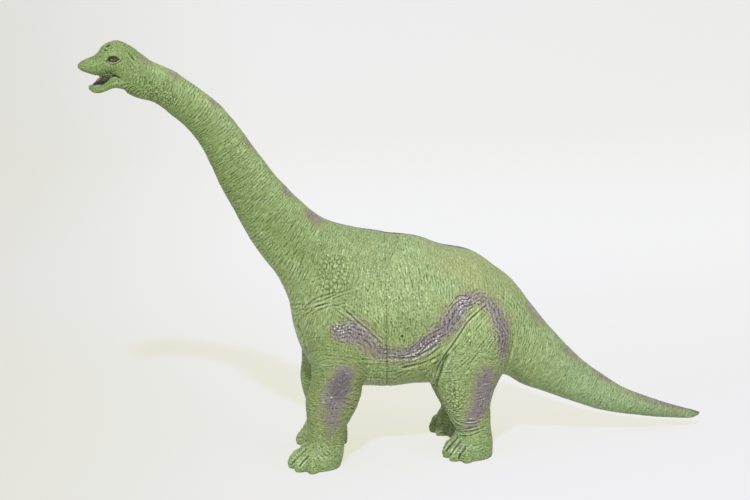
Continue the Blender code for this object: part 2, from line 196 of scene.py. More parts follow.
# leg rows hold height, x, half depth, half width and distance from the middle as shares
foreleg["rows"] = [
    (1.00, 0.36, 0.42, 0.32, 0.91), (0.813, 0.29, 0.58, 0.47, 0.97), (0.647, 0.13, 0.60, 0.54, 0.985),
    (0.507, 0.02, 0.52, 0.526, 1.00), (0.413, -0.055, 0.53, 0.487, 1.00), (0.32, -0.13, 0.485, 0.447, 1.00),
    (0.227, -0.22, 0.384, 0.403, 1.00), (0.147, -0.267, 0.402, 0.408, 1.00),
    (0.067, -0.384, 0.465, 0.447, 1.00), (0.00, -0.407, 0.453, 0.434, 1.00),
]
hindleg["rows"] = [
    (1.00, 0.08, 0.21, 0.20, 0.58), (0.867, 0.13, 0.34, 0.40, 0.84), (0.747, 0.13, 0.43, 0.489, 0.97),
    (0.627, 0.058, 0.483, 0.50, 0.985), (0.513, -0.025, 0.50, 0.477, 1.00),
    (0.413, -0.075, 0.425, 0.432, 1.00), (0.313, -0.067, 0.342, 0.393, 1.00),
    (0.22, -0.017, 0.292, 0.352, 1.00), (0.153, 0.025, 0.258, 0.341, 1.00),
    (0.073, -0.015, 0.320, 0.386, 1.00), (0.00, -0.025, 0.325, 0.375, 1.00),
]

waistHeight = form["bellyClearance"] + form["torsoHeight"] / 2
legTop = form["bellyClearance"] + form["legRoot"] * form["torsoHeight"]


def scaledRows(shares, origin, reach, rise, depth, width):
    rows = np.array(shares, float)
    rows[:, :4] *= (reach, rise, depth, width)
    rows[:, :2] += origin
    rows[:, 4:] = np.radians(rows[:, 4:])
    return rows


def refined(rows, times):  # four-point curve through all the rows
    for _ in range(times):
        middle = (rows[:-1] + rows[1:]) / 2
        outer = (np.vstack([rows[:1], rows[:-2]]) + np.vstack([rows[2:], rows[-1:]])) / 2
        smooth = np.empty((2 * len(rows) - 1, rows.shape[1]))
        smooth[0::2] = rows
        smooth[1::2] = middle + (middle - outer) / 8
        rows = smooth
    return rows


def trunkRows():
    waist = (0, waistHeight)
    neckBase = (-form["shoulderLength"], waistHeight + form["torsoHeight"] * shoulderRows[0][1])
    headBase = (neckBase[0] - form["neckReach"], neckBase[1] + form["neckRise"])
    tailBase = (form["hipLength"], waistHeight + form["torsoHeight"] * hipRows[-1][1])
    headSizes = (headBase, -form["headLength"], form["headHeight"], form["headHeight"], form["headWidth"])
    neckSizes = (neckBase, -form["neckReach"], form["neckRise"], form["neckDepth"], form["neckWidth"])
    torso = (form["torsoHeight"], form["torsoHeight"], form["torsoWidth"])
    tailSizes = (tailBase, form["tailReach"], form["tailDrop"], form["tailDepth"], form["tailWidth"])
    rows = np.vstack([
        scaledRows(headRows, *headSizes),
        scaledRows(neckRows, *neckSizes),
        scaledRows(shoulderRows, waist, -form["shoulderLength"], *torso),
        scaledRows(waistRows + hipRows, waist, form["hipLength"], *torso),
        scaledRows(tailRows, *tailSizes),
    ])
    return rows, scaledRows(jawRows, *headSizes), scaledRows(tongueRows, *headSizes)


def ringsOf(rows, sides, inset=0.0):
    angle = 2 * np.pi * np.arange(sides) / sides
    x, z, halfDepth, halfWidth, lean, turn = (column[:, None] for column in rows.T)
    across = (halfWidth - inset) * np.cos(angle) * (1 - form["fullness"] * np.sin(angle))
    rise = (halfDepth - inset) * np.sin(angle)
    return np.stack([
        x + across * np.sin(turn) + rise * np.sin(lean),
        across * np.cos(turn),
        z + rise * np.cos(lean),
    ], 2)


def legRows(leg, side):
    shares = np.array(leg["rows"])
    lag = np.maximum(0, 1 - shares[:, 0] / form["strideHeight"]) * (side > 0)
    return np.stack([
        leg["setting"] + leg["depth"] * shares[:, 1] + lag * leg["stride"],
        legTop * shares[:, 0],
        leg["depth"] * shares[:, 2],
        leg["width"] * shares[:, 3],
        shares[:, 4] * form["legSpacing"] / 2 - lag * leg["tuck"],
    ], 1)


def legRings(rows, side, sides, inset=0.0):
    angle = 2 * np.pi * np.arange(sides) / sides
    x, z, halfDepth, halfWidth, spread = (column[:, None] for column in rows.T)
    return np.stack([
        x + (halfDepth - inset) * np.cos(angle),
        side * spread + (halfWidth - inset) * np.sin(angle),
        z + 0 * angle,
    ], 2)


def loftedShape(rings, closed=True):  # vertices and faces of a tube of rings, with flat ends
    count, sides = rings.shape[:2]
    index = np.arange(count * sides).reshape(count, sides)
    after = np.roll(index, -1, 1)
    faces = np.stack([index[:-1], after[:-1], after[1:], index[1:]], 2).reshape(-1, 4).tolist()
    if closed:
        faces += [index[0, ::-1].tolist(), index[-1].tolist()]
    return rings.reshape(-1, 3), faces


def toeShape(rows, side, leg, degrees):
    angle = radians(degrees)
    forward = np.array([-cos(angle), sin(angle), 0])
    aside = np.array([sin(angle), cos(angle), 0])
    polar = np.linspace(form["toeTip"], np.pi - form["toeTip"], form["toeRings"])[:, None]
    around = 2 * np.pi * np.arange(form["toeSides"]) / form["toeSides"]
    along = np.cos(polar) + 0 * around
    wide = np.sin(polar) * np.cos(around)
    high = np.sin(polar) * np.sin(around)
    centre = np.array([rows[-1][0], side * rows[-1][4], form["toeCentre"] * form["toeHeight"]])
    centre += (-cos(angle) * leg["toeReach"], sin(angle) * form["toeSpread"], 0)
    points = centre + forward * (form["toeLength"] / 2 * along)[..., None]
    points += aside * (form["toeWidth"] / 2 * wide)[..., None]
    points[..., 2] += form["toeHeight"] / 2 * high
    points[..., 2] = np.maximum(points[..., 2], 0)
    return loftedShape(points)


def merged(shapes):
    vertices, faces, start = [], [], 0
    for points, loops in shapes:
        vertices.append(points)
        faces += [[corner + start for corner in loop] for loop in loops]
        start += len(points)
    return np.vstack(vertices), faces


def newMesh(name, points, faces):
    mesh = bpy.data.meshes.new(name)
    mesh.from_pydata(points.tolist(), [], faces)
    mesh.update()
    return mesh


def applied(thing):  # the object's mesh with its modifiers worked in
    bpy.context.view_layer.update()
    return bpy.data.meshes.new_from_object(thing.evaluated_get(bpy.context.evaluated_depsgraph_get()))


def voxelled(thing, size):  # the same form as one closed mesh of even faces
    remesh = thing.modifiers.new("union", "REMESH")
    remesh.mode = "VOXEL"
    remesh.voxel_size = size
    return applied(thing)


def unionOf(name, shapes, size):
    rough = newObject(name, newMesh(name, *merged(shapes)))
    mesh = voxelled(rough, size)
    bpy.data.objects.remove(rough)
    return mesh


spine, jaw, tongue = trunkRows()
cadTail = ringsOf(spine[-1:], form["cadSides"])
shift = np.array([cadHigh.x - cadTail[..., 0].max(), 0, 0])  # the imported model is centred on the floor
fineSpine = refined(spine, form["rowSteps"])
trunkShape = loftedShape(ringsOf(fineSpine, form["trunkSides"]) + shift)
jawShape = loftedShape(ringsOf(refined(jaw, form["rowSteps"]), form["jawSides"]) + shift)
tongueShape = loftedShape(ringsOf(refined(tongue, form["rowSteps"]), form["jawSides"]) + shift)
legShapes = []
for leg in (foreleg, hindleg):
    for side in (-1, 1):
        rows = legRows(leg, side)
        legShapes.append(loftedShape(legRings(refined(rows, form["rowSteps"]), side, form["legSides"])))
        legShapes += [toeShape(rows, side, leg, degrees) for degrees in form["toeAngles"]]
legShapes = [(points + shift, faces) for points, faces in legShapes]
print("form:", len(fineSpine), "rings along the back, shifted", round(shift[0] * 1000, 2), "mm")

# number patterns on points, for the moulded texture


def cellHash(cells, seed):  # a fixed random number, 0 to 1, for each cell
    mixed = (cells[..., 0].astype(np.uint32) * np.uint32(73856093)
             ^ cells[..., 1].astype(np.uint32) * np.uint32(19349663)
             ^ cells[..., 2].astype(np.uint32) * np.uint32(83492791)
             ^ np.uint32((seed * 2654435761) % 2**32))
    for shiftBits, factor in ((15, 2246822519), (13, 3266489917)):
        mixed = (mixed ^ (mixed >> np.uint32(shiftBits))) * np.uint32(factor)
    return (mixed ^ (mixed >> np.uint32(16))).astype(float) / 2**32


def cloud(points, seed):  # smooth gradient noise, about -1 to 1
    cell = np.floor(points).astype(np.int64)
    part = points - cell
    ease = part**3 * (part * (part * 6 - 15) + 10)
    total = np.zeros(len(points))
    for corner in np.ndindex(2, 2, 2):
        at = cell + corner
        away = part - corner
        weight = np.prod(np.where(corner, ease, 1 - ease), 1)
        angle = cellHash(at, seed) * 2 * np.pi
        height = cellHash(at, seed + 17) * 2 - 1
        flat = np.sqrt(1 - height**2)
        slope = away[:, 0] * flat * np.cos(angle) + away[:, 1] * flat * np.sin(angle) + away[:, 2] * height
        total += weight * slope
    return total * 1.7


def layered(points, seed, layers=3):
    return sum(cloud(points * 2**layer, seed + layer) / 2**layer for layer in range(layers))


# turned, so that no row of scales lies along an axis
latticeTurn = np.array(Matrix.Rotation(radians(37), 3, (0.5, 0.6, 0.62)))
pebbleShape = {"scatter": 0.92, "gap": 0.6, "dome": 0.8}


def pebbles(points, seed):  # domed scales with grooves between them
    points = points @ latticeTurn
    cell = np.floor(points).astype(np.int64)
    nearest = np.full(len(points), 9.0)
    second = nearest.copy()
    for step in np.ndindex(3, 3, 3):
        at = cell + step - 1
        random = np.stack([cellHash(at, seed + axis) for axis in (0, 5, 9)], 1)
        middle = at + 0.5 + pebbleShape["scatter"] * (random - 0.5)
        gap = np.sum((points - middle)**2, 1)
        second = np.minimum(second, np.maximum(gap, nearest))
        nearest = np.minimum(nearest, gap)
    return np.clip((np.sqrt(second) - np.sqrt(nearest)) / pebbleShape["gap"], 0, 1)**pebbleShape["dome"]


def eased(values, low, high):  # 0 up to low, 1 from high on, smooth between
    share = np.clip((values - low) / (high - low), 0, 1)
    return share * share * (3 - 2 * share)


def fading(values, end, over):  # 1, then fading to 0 at the end
    return eased(end - values, 0, over)


def endsEased(share, low, high):  # 1 along a line, 0 at both its ends
    return eased(share, low, high) * eased(1 - share, low, high)


def nearLine(seen, line, reach=40):  # distance to a drawn line in pixels, share along it, and the side
    line = np.array(line, float)
    distance = np.full(len(seen), 1e3)
    along = np.zeros(len(seen))
    side = np.zeros(len(seen))
    low, high = line.min(0) - reach, line.max(0) + reach
    chosen = np.flatnonzero(np.all((seen > low) & (seen < high), 1))
    points = seen[chosen]
    best = np.full(len(chosen), 1e3)
    place = np.zeros(len(chosen))
    hand = np.zeros(len(chosen))
    for number, (start, end) in enumerate(zip(line, line[1:])):
        span = end - start
        offset = points - start
        share = np.clip(offset @ span / (span @ span), 0, 1)
        gap = np.linalg.norm(offset - share[:, None] * span, axis=1)
        closer = gap < best
        best[closer] = gap[closer]
        place[closer] = (number + share[closer]) / (len(line) - 1)
        hand[closer] = np.sign(span[0] * offset[:, 1] - span[1] * offset[:, 0])[closer]
    distance[chosen] = best
    along[chosen] = place
    side[chosen] = hand
    return distance, along, side


# one closed skin, from all the forms together
skinMould = {
    "voxel": 0.00078,
    "quickVoxel": 0.00115,
    "headEnd": 138,       # pixels: the head is given a finer mesh up to here
    "settling": 3,        # passes that take the steps out of the remeshed skin
    "fillet": 0.012,      # how far a leg blends into the trunk
    "filletRise": 0.25,
    "filletCorner": 1.3,
    "filletEase": 0.6,
    "filletPasses": 60,
    "cornerEase": (0.8, 8),
    "legEase": (0.7, 12),
    "legMargin": 0.02,    # points this far above the legs belong to the trunk alone
    "farAway": 0.05,
    "triangles": 184000,  # the outside of each skin is thinned to this many
}


def remeshedSkin():
    mesh = unionOf("roughSkin", [trunkShape, jawShape, tongueShape] + legShapes,
                   skinMould["voxel"])
    shape = bmesh.new()
    shape.from_mesh(mesh)
    places = seenAt(np.array([vert.co for vert in shape.verts]))
    inHead = places[:, 0] < skinMould["headEnd"]
    shape.verts.ensure_lookup_table()
    headEdges = [edge for edge in shape.edges if inHead[edge.verts[0].index] and inHead[edge.verts[1].index]]
    bmesh.ops.subdivide_edges(shape, edges=headEdges, cuts=1, use_grid_fill=True, smooth=1.0)
    shape.to_mesh(mesh)
    shape.free()
    return mesh


def meshPoints(mesh):
    flat = np.empty(len(mesh.vertices) * 3)
    mesh.vertices.foreach_get("co", flat)
    return flat.reshape(-1, 3)


def meshEdges(mesh):
    flat = np.empty(len(mesh.edges) * 2, np.int32)
    mesh.edges.foreach_get("vertices", flat)
    return flat.reshape(-1, 2)


def movedTo(mesh, points):
    mesh.vertices.foreach_set("co", points.ravel())
    mesh.update()
    flat = np.empty(len(mesh.vertices) * 3)
    mesh.vertex_normals.foreach_get("vector", flat)
    return flat.reshape(-1, 3)


def relaxed(values, edges, amount, passes):  # amount may differ from point to point
    count = len(values)
    first, second = edges.T
    links = np.bincount(first, minlength=count) + np.bincount(second, minlength=count)
    flat = values.reshape(count, -1).copy()
    amount = np.broadcast_to(amount, (count,))
    for _ in range(passes):
        for column in range(flat.shape[1]):
            data = flat[:, column]
            around = np.bincount(first, data[second], count) + np.bincount(second, data[first], count)
            flat[:, column] = data + amount * (around / np.maximum(links, 1) - data)
    return flat.reshape(values.shape)


def nearestForm(points, shapes):  # distance to the nearest of some forms, and the way it faces there
    vertices, faces = merged(shapes)
    tree = BVHTree.FromPolygons(vertices.tolist(), faces)
    found = [tree.find_nearest(point) for point in points.tolist()]
    return np.array([hit[3] for hit in found]), np.array([tuple(hit[1]) for hit in found])


skin = remeshedSkin()
skinPoints = meshPoints(skin)
skinEdges = meshEdges(skin)
skinPoints = relaxed(skinPoints, skinEdges, 0.5, skinMould["settling"])
print("skin: remeshed to", len(skinPoints), "points")

trunkGap, trunkFacing = nearestForm(skinPoints, [trunkShape])
legGap = np.full(len(skinPoints), skinMould["farAway"])
legFacing = trunkFacing.copy()
lowPart = np.flatnonzero(skinPoints[:, 2] < legTop + skinMould["legMargin"])
legGap[lowPart], legFacing[lowPart] = nearestForm(skinPoints[lowPart], legShapes)
otherGap = np.maximum(trunkGap, legGap)
# how far the trunk and a leg face different ways, and how far a point is on a leg
cornered = relaxed(1 - np.abs(np.sum(trunkFacing * legFacing, 1)), skinEdges, *skinMould["cornerEase"])
legness = relaxed(trunkGap / (trunkGap + legGap + 1e-6), skinEdges, *skinMould["legEase"])
normals = movedTo(skin, skinPoints)
filletShare = np.clip(1 - otherGap / skinMould["fillet"], 0, 1)
fillet = skinMould["fillet"] * skinMould["filletRise"] * filletShare**2
fillet = fillet * np.minimum(1, skinMould["filletCorner"] * cornered)
skinPoints = skinPoints + normals * fillet[:, None]
filletEase = skinMould["filletEase"] * eased(filletShare, 0, 0.6)
skinPoints = relaxed(skinPoints, skinEdges, filletEase, skinMould["filletPasses"])
print("skin: legs blended into the trunk")

# where each point lies: along the back, around the body, and in the photograph
search = {"block": 20000, "steps": 6, "pace": 0.6}


def alongBack(points):  # row, length from the nose, angle and radius round the body
    rows = fineSpine.copy()
    rows[:, 0] += shift[0]
    step = np.linalg.norm(np.diff(rows[:, :2], axis=0), axis=1)
    length = np.concatenate([[0], np.cumsum(step)])
    spacing = np.gradient(length)
    counter = np.arange(len(rows))
    flat = points[:, [0, 2]]
    place = np.empty(len(points))
    for start in range(0, len(points), search["block"]):
        block = slice(start, start + search["block"])
        place[block] = ((flat[block, None] - rows[None, :, :2])**2).sum(2).argmin(1)
    for _ in range(search["steps"]):
        x, z, lean = (np.interp(place, counter, rows[:, column]) for column in (0, 1, 4))
        ahead = (flat[:, 0] - x) * np.cos(lean) - (flat[:, 1] - z) * np.sin(lean)
        place = place + search["pace"] * ahead / np.interp(place, counter, spacing)
        place = np.clip(place, 0, len(rows) - 1)
    x, z, halfDepth, halfWidth, lean = (np.interp(place, counter, rows[:, column]) for column in range(5))
    rise = ((flat[:, 0] - x) * np.sin(lean) + (flat[:, 1] - z) * np.cos(lean)) / halfDepth
    angle = np.arctan2(rise, points[:, 1] / halfWidth)
    radius = np.sqrt(halfDepth * halfWidth)
    return place / 2**form["rowSteps"], np.interp(place, counter, length), angle, radius


row, along, angle, radius = alongBack(skinPoints)
aroundBody = np.stack([np.cos(angle) * radius, np.sin(angle) * radius], 1)


def aroundLegs(points):  # each point moved to the leg on the near side, and its place round that leg
    near = points.copy()
    near[:, 1] = -np.abs(near[:, 1])
    height = points[:, 2]
    result = np.zeros((len(points), 2))
    for leg in (foreleg, hindleg):
        rows = refined(legRows(leg, -1), form["rowSteps"])[::-1]
        mine = (points[:, 0] - shift[0] < form["betweenLegs"]) == (leg is foreleg)
        lag = np.maximum(0, 1 - height / (legTop * form["strideHeight"])) * (points[:, 1] > 0) * mine
        near[:, 0] -= lag * leg["stride"]
        near[:, 1] -= lag * leg["tuck"]
        centreX = np.interp(height, rows[:, 1], rows[:, 0]) + shift[0]
        centreY = -np.interp(height, rows[:, 1], rows[:, 4])
        result[mine] = np.stack([near[:, 0] - centreX, near[:, 1] - centreY], 1)[mine]
    return near, result


nearPlace, aroundLeg = aroundLegs(skinPoints)
seen = seenAt(nearPlace)
farSide = (skinPoints[:, 1] > 0) * 1.0
print("skin: every point has its place along the back and in the picture")

# sculpting over the photograph: places and widths in its pixels, tilts in degrees, depths in mm
eye = {
    "middle": (113.3, 59.9), "half": (5.3, 2.7), "tilt": -3.0, "almond": 0.35,
    "ball": 0.75, "sunk": 0.8, "socket": (1.3, 0.3),
    "lid": 0.55, "lidAt": 1.6, "lidWidth": 0.24, "lowLidAt": 0.35,
    "fold": 0.45, "foldAt": 1.68, "foldWidth": 0.2,
}
nostrilRim = {"height": 0.28, "at": 1.7, "width": 0.5}
# how squarely the skin faces the camera where drawn grooves and folds fade out
facingLimits = {"grooves": (-0.1, 0.12), "folds": (0.0, 0.3)}
# ovals: middle, half sizes and tilt, then a nostril's depth or a lump's height
nostrils = [
    ((107.9, 45.9), (1.9, 1.1), -35, 1.5), ((105, 50.4), (1.3, 0.9), -25, 0.9),
]
lumps = [
    ((101.1, 55.5), (2.6, 2.2), 0, 0.5), ((114.6, 82), (6, 4.5), -20, 0.9),
    ((109.5, 69.5), (5, 3), 25, 0.45), ((96, 65.5), (7, 2.2), -8, 0.25), ((101.5, 46.5), (5.5, 5), -50, 1),
    ((139, 97.5), (10, 4), 12, 0.9), ((194, 138), (24, 6), 55, 0.8), ((224, 107), (17, 5), 45, 0.7),
    ((273, 176), (16, 5), 48, -0.6), ((376, 231), (28, 5), 4, -0.5), ((452, 245), (14, 5), 10, -1),
    ((487, 260), (15, 6), 33, 0.9), ((532, 304), (16, 5), 52, 0.8), ((584, 405), (46, 6), 13, 1.3),
    ((692, 417), (12, 4), 4, 0.9), ((372, 386), (17, 5), 0, -1.1), ((293, 322), (5, 18), -12, 0.8),
    ((304, 398), (5, 16), 0, 1.6), ((98, 77.8), (2.6, 2), -30, -1.6), ((116, 41), (4, 3.5), 0, -0.7),
    ((113.5, 54.3), (6, 1.6), -4, 0.45), ((463, 247), (12, 5), 14, -0.9), ((400, 385), (30, 5), 0, -0.8),
    ((302, 364), (5, 13), 0, -0.9), ((342, 452), (5, 14), 0, 0.9), ((535, 388), (30, 5), 20, 0.8),
]
grooves = {  # a line, its width and its depth
    "temple": ([(128.6, 52), (130.2, 54.5), (132.6, 57.6), (135.4, 60.8)], 1, 1.4),
    "cheek": ([(104.2, 69.3), (106, 71.4), (108.3, 73.9)], 0.8, 0.4),
    "mouthCorner": ([(112, 75.2), (114.5, 75.4), (117.5, 77), (119.5, 78.6)], 0.9, 0.8),
    "jawBack": ([(119.8, 86.4), (122.5, 85.3), (126, 84.6), (131, 84.2)], 0.9, 0.8),
    "cheekBack": ([(131, 62.5), (134.5, 66), (137, 70.5)], 0.8, 0.4),
    "chestOne": ([(289.5, 304.3), (295, 304.8), (302, 304)], 0.9, 0.45),
    "chestTwo": ([(290.5, 306.6), (295.8, 310.8), (302, 310), (308, 304), (316, 298), (330, 293.5),
                 (345, 291)], 0.8, 0.35),
    "chestThree": ([(308.5, 311.5), (315, 307), (323, 304.3), (333, 303)], 0.8, 0.4),
    "chestLeg": ([(297, 322), (301, 334), (304.5, 346), (308, 358)], 1.3, 1.2),
    "shoulderOne": ([(341, 306), (349, 313), (358, 322), (366, 328), (374, 336), (388, 349)], 0.9, 0.65),
    "bellyOne": ([(388, 356.6), (401.8, 358.4), (414.4, 357), (428, 350.5), (440, 342)], 1, 0.8),
    "bellyTwo": ([(401, 367.6), (408, 366.4), (418, 364.6), (429.4, 360.6), (437, 357)], 1.1, 0.9),
    "thigh": ([(488, 303.5), (486, 305.5), (476, 314.2), (467.1, 323.1), (460, 333.8), (452.9, 344.4),
              (445, 355), (438, 367), (433, 383)], 0.8, 0.85),
    "groin": ([(449, 352), (444.5, 361), (440.5, 371), (436, 382), (436, 396)], 1.8, 1.2),
    "thighBack": ([(513.5, 331), (513, 345), (509, 359), (503, 372)], 1.2, 0.9),
    "forelegNick": ([(350.6, 408.2), (355, 409.4)], 0.8, 1.1),
    "foretoeOne": ([(307.5, 447.8), (298, 457), (291.4, 464.4)], 0.8, 1),
    "foretoeTwo": ([(309.5, 454.8), (303.7, 461), (299, 467.6)], 0.8, 1),
    "foretoeThree": ([(296, 446.4), (301.5, 443), (307, 439.4)], 1.1, 1),
    "hindtoeOne": ([(458, 436), (450.7, 444.6), (445.4, 451.8)], 1, 1.2),
    "hindtoeTwo": ([(461, 440.4), (454.3, 448.8), (449.6, 456.2)], 1, 1.2),
    "hindtoeThree": ([(466.5, 445.4), (460.5, 454), (458, 460.6)], 1, 1.1),
}


def ovalShare(seen, middle, half, tilt):  # 0 in the middle of an oval and 1 on its edge
    turn = radians(tilt)
    offset = seen - middle
    across = (offset[:, 0] * cos(turn) + offset[:, 1] * sin(turn)) / half[0]
    down = (-offset[:, 0] * sin(turn) + offset[:, 1] * cos(turn)) / half[1]
    return np.hypot(across, down), across, down


creaseLip = {"height": 0.3, "groove": 2, "fold": 1.9}  # its height, and how many widths out it lies


def creaseShape(gap, width, kind):  # a crease of depth 1 with slightly raised sides
    lip = creaseLip["height"] * np.exp(-((gap - creaseLip[kind] * width) / width)**2)
    return lip - np.exp(-(gap / width)**2)


def grooveHeight(line, width, depth):
    gap, share, side = nearLine(seen, line, 5 * width)
    return depth * endsEased(share, -0.02, 0.14) * creaseShape(gap, width, "groove")


folds = {  # creases that fan out from a first line to a last one: their count, width, depth and wander
    "throat": ([(119.5, 89.2), (124, 86.8), (128.5, 84.4)],
               [(134, 98), (139, 94.6), (144.5, 91.6)], 8, 0.65, 0.8, 0.4),
    "chest": ([(291, 303), (305, 306), (322, 300), (341, 293), (354, 284), (366, 276)],
              [(293, 316), (303, 317), (316, 312), (330, 308), (344, 311), (356, 318)], 9, 0.7, 0.36, 1.2),
    "shoulder": ([(345, 296), (356, 303), (368, 312), (380, 324), (392, 341)],
                 [(336, 311), (348, 317), (359, 326), (369, 338), (380, 351)], 6, 0.75, 0.5, 1.3),
    "forelegTop": ([(306, 340), (322, 337), (338, 338), (353, 344), (364, 354)],
                   [(311, 374), (326, 369), (341, 369), (356, 373), (370, 380)], 11, 0.65, 0.3, 0.9),
    "elbow": ([(345, 393), (353, 395), (361, 396)], [(343, 414), (349, 416), (356, 416)], 5, 0.7, 0.7, 0.8),
    "belly": ([(350, 357), (370, 360), (392, 361), (412, 358), (430, 349), (446, 337)],
              [(354, 382), (372, 382), (392, 381), (410, 377), (426, 371), (438, 362)], 8, 0.75, 0.5, 1.6),
    "thigh": ([(487, 309), (473, 324), (461, 341), (448, 357)],
              [(499, 334), (488, 350), (474, 366), (457, 378)], 11, 0.7, 0.38, 0.6),
    "thighFront": ([(484, 285), (474, 294), (463, 306), (455, 318)],
                   [(487, 303), (476, 312), (466, 322), (458, 335)], 6, 0.7, 0.5, 0.8),
    "hip": ([(487, 291), (500, 299), (509, 309), (514, 321), (515, 335), (513, 350)],
            [(480, 283), (500, 286), (516, 298), (523, 314), (525, 332), (523, 350)], 4, 0.8, 0.28, 0.6),
    "ankle": ([(449.5, 411), (456, 417.5), (464, 420.5), (474, 420.5), (484, 417.5)],
              [(457, 434), (463, 436), (470, 435), (478, 432), (487, 427.5)], 10, 0.65, 0.6, 0.5),
    "footFan": ([(311.5, 449), (313.5, 457), (317, 466)],
                [(325, 443), (336, 446), (344, 449)], 8, 0.6, 0.38, 0.4),
}
foldHabit = {  # how the creases of one family differ
    "start": (-0.1, 0.3), "end": (0.75, 1.1), "strength": (0.5, 1.1), "before": 0.12, "after": 0.05,
    "breakSize": 0.0075, "breakSeeds": (71, 72, 73), "breakLow": 0.25,
}
# three patterns of breaks, so that neighbours don't break off at the same place
breaks = [eased(cloud(skinPoints / foldHabit["breakSize"], seed), -0.35, 0.2)
          for seed in foldHabit["breakSeeds"]]


def foldHeight(first, last, count, width, depth, wander):
    before, after, low = foldHabit["before"], foldHabit["after"], foldHabit["breakLow"]
    draw = np.random.default_rng(len(first) * 100 + count)
    first, last = np.array(first, float), np.array(last, float)
    total = np.zeros(len(seen))
    for number, share in enumerate(np.linspace(0, 1, count)):
        line = first + (last - first) * share + wander * draw.normal(0, 1, first.shape)
        start, end = draw.uniform(*foldHabit["start"]), draw.uniform(*foldHabit["end"])
        gap, along, side = nearLine(seen, line, 4 * width)
        strength = draw.uniform(*foldHabit["strength"]) * eased(along, start - before, start + after)
        strength *= eased(-along, -end - after, -end + before)
        strength *= low + (1 - low) * breaks[number % len(breaks)]
        total += strength * creaseShape(gap, width, "fold")
    return depth * total


millimetre = 0.001
normals = movedTo(skin, skinPoints)
# how far the skin faces the camera: what is drawn stops where it turns away
facing = (normals * np.column_stack([farSide * 0 + 1, 1 - 2 * farSide, farSide * 0 + 1])) @ cameraBack
height = np.zeros(len(skinPoints))  # of the relief, in mm
for groove in grooves.values():
    height += grooveHeight(*groove) * eased(facing, *facingLimits["grooves"])
for fold in folds.values():
    height += foldHeight(*fold) * eased(facing, *facingLimits["folds"])
for *oval, rise in lumps:
    height += rise * np.exp(-ovalShare(seen, *oval)[0]**2 * 1.6)
for *oval, depth in nostrils:
    share = ovalShare(seen, *oval)[0]
    rim = nostrilRim["height"] * np.exp(-((share - nostrilRim["at"]) / nostrilRim["width"])**2)
    height += depth * (rim - np.exp(-share**3))
eyeAcross, eyeDown = ovalShare(seen, eye["middle"], eye["half"], eye["tilt"])[1:]
almond = np.hypot(eyeAcross, eyeDown * (1 + eye["almond"] * eyeAcross**2))
lowLid = eased(eyeDown, -0.3, 0.3)
height += eye["ball"] * np.sqrt(np.clip(1 - almond**2, 0, 1))
height -= eye["sunk"] * fading(almond, *eye["socket"])
height += eye["lid"] * np.exp(-((almond - eye["lidAt"] + eye["lowLidAt"] * lowLid) / eye["lidWidth"])**2)
height -= eye["fold"] * lowLid * np.exp(-((almond - eye["foldAt"]) / eye["foldWidth"])**2)
print("sculpting:", len(grooves), "drawn grooves and", len(folds), "families of folds")

# stripes of paint: a middle line, then half widths in pixels and strengths along it
stripes = {
    "flank": {
        "line": [(329, 329), (336, 330.5), (344, 331), (352, 331), (360, 334.5), (368.5, 342),
                 (376, 349.5), (384, 353.5), (394, 354.5), (405, 354.5), (416, 351.5), (427, 344),
                 (437, 335.5), (445, 327), (451, 319.5), (457, 311.5), (463, 303.5), (469.5, 298),
                 (477, 297), (485, 300), (492, 307), (498, 316), (501.5, 326), (503.5, 338),
                 (504, 350), (502.5, 361), (499.5, 371)],
        "half": [6, 11, 13.5, 14, 13.5, 13, 11.5, 8.5, 7.5, 8.5, 9, 9.5, 10.5, 11, 11.5, 11, 10, 9, 8, 8.5,
                 9, 9.5, 9, 8.5, 7.5, 6.5, 4],
        "strong": [0.5, 0.85, 1, 1, 1, 0.9, 0.8, 0.9] + [1] * 15 + [0.9, 0.8, 0.5, 0.1]},
    "foreleg": {
        "line": [(344, 375), (340.5, 384), (337, 393), (334, 402), (332, 411), (331.5, 422), (330.5, 436)],
        "half": [12, 14, 15.5, 16, 15, 15, 12], "strong": [1, 1, 1, 1, 0.85, 0.65, 0.3]},
    "hindleg": {
        "line": [(487, 376), (486, 384), (484, 393), (480, 403), (476, 412), (472, 421), (468, 430)],
        "half": [12, 13, 13, 12, 11.5, 11, 8], "strong": [0.9, 1, 1, 1, 0.95, 0.75, 0.3]},
}

# moulded texture, each pattern kept to its own part of the body, sizes in mm
texture = {
    "neckRings": {"depth": 0.42, "pitch": 2.3, "run": 8.0, "seed": 3, "wander": 0.7},
    "flankLines": {"depth": 0.36, "pitch": 2.4, "run": 10.0, "seed": 105, "wander": 0.9},
    "tailRings": {"depth": 0.2, "pitch": 2.3, "run": 6.0, "seed": 207, "wander": 1.0},
    "legRings": {"depth": 0.3, "pitch": 2.4, "run": 8.0, "seed": 309, "wander": 0.9},
    "stripeLines": {"depth": 0.65, "pitch": 3.0, "run": 4.0, "seed": 411, "wander": 1.7},
    "stripeGrain": {"depth": 0.5, "size": 2.2, "seed": 33},
    "scales": {"depth": 0.85, "size": 3.6, "seed": 21},
    "flankScales": {"depth": 0.4, "size": 2.4, "seed": 23},
    "kneeScales": {"depth": 1.3, "size": 2.9, "seed": 25},
    "throatScales": {"depth": 0.95, "size": 2.3, "seed": 27},
    "grain": {"depth": 0.48, "size": 1.9, "seed": 31},
}
broadLumps = {"depth": 0.25, "size": 11.0, "seed": 51, "layers": 2}
ridgeHabit = {  # how long creases drift, tremble and end, sizes in mm
    "drift": (21, 19), "tremble": (5, 6), "trembling": 0.16, "runs": 1.4, "ends": (-0.4, 0.25),
    "sharp": 2, "level": 0.25, "faint": 0.15,
}
bodyParts = {  # rows along the back where a part starts, and where it ends over how many rows
    "head": {"end": (8.6, 1.6)},
    "neck": {"start": (8.2, 10.5), "end": (20.5, 3)},
    "trunk": {"start": (17.5, 20.5), "end": (31.5, 2.5)},
    "tail": {"start": (29.5, 32)},
}
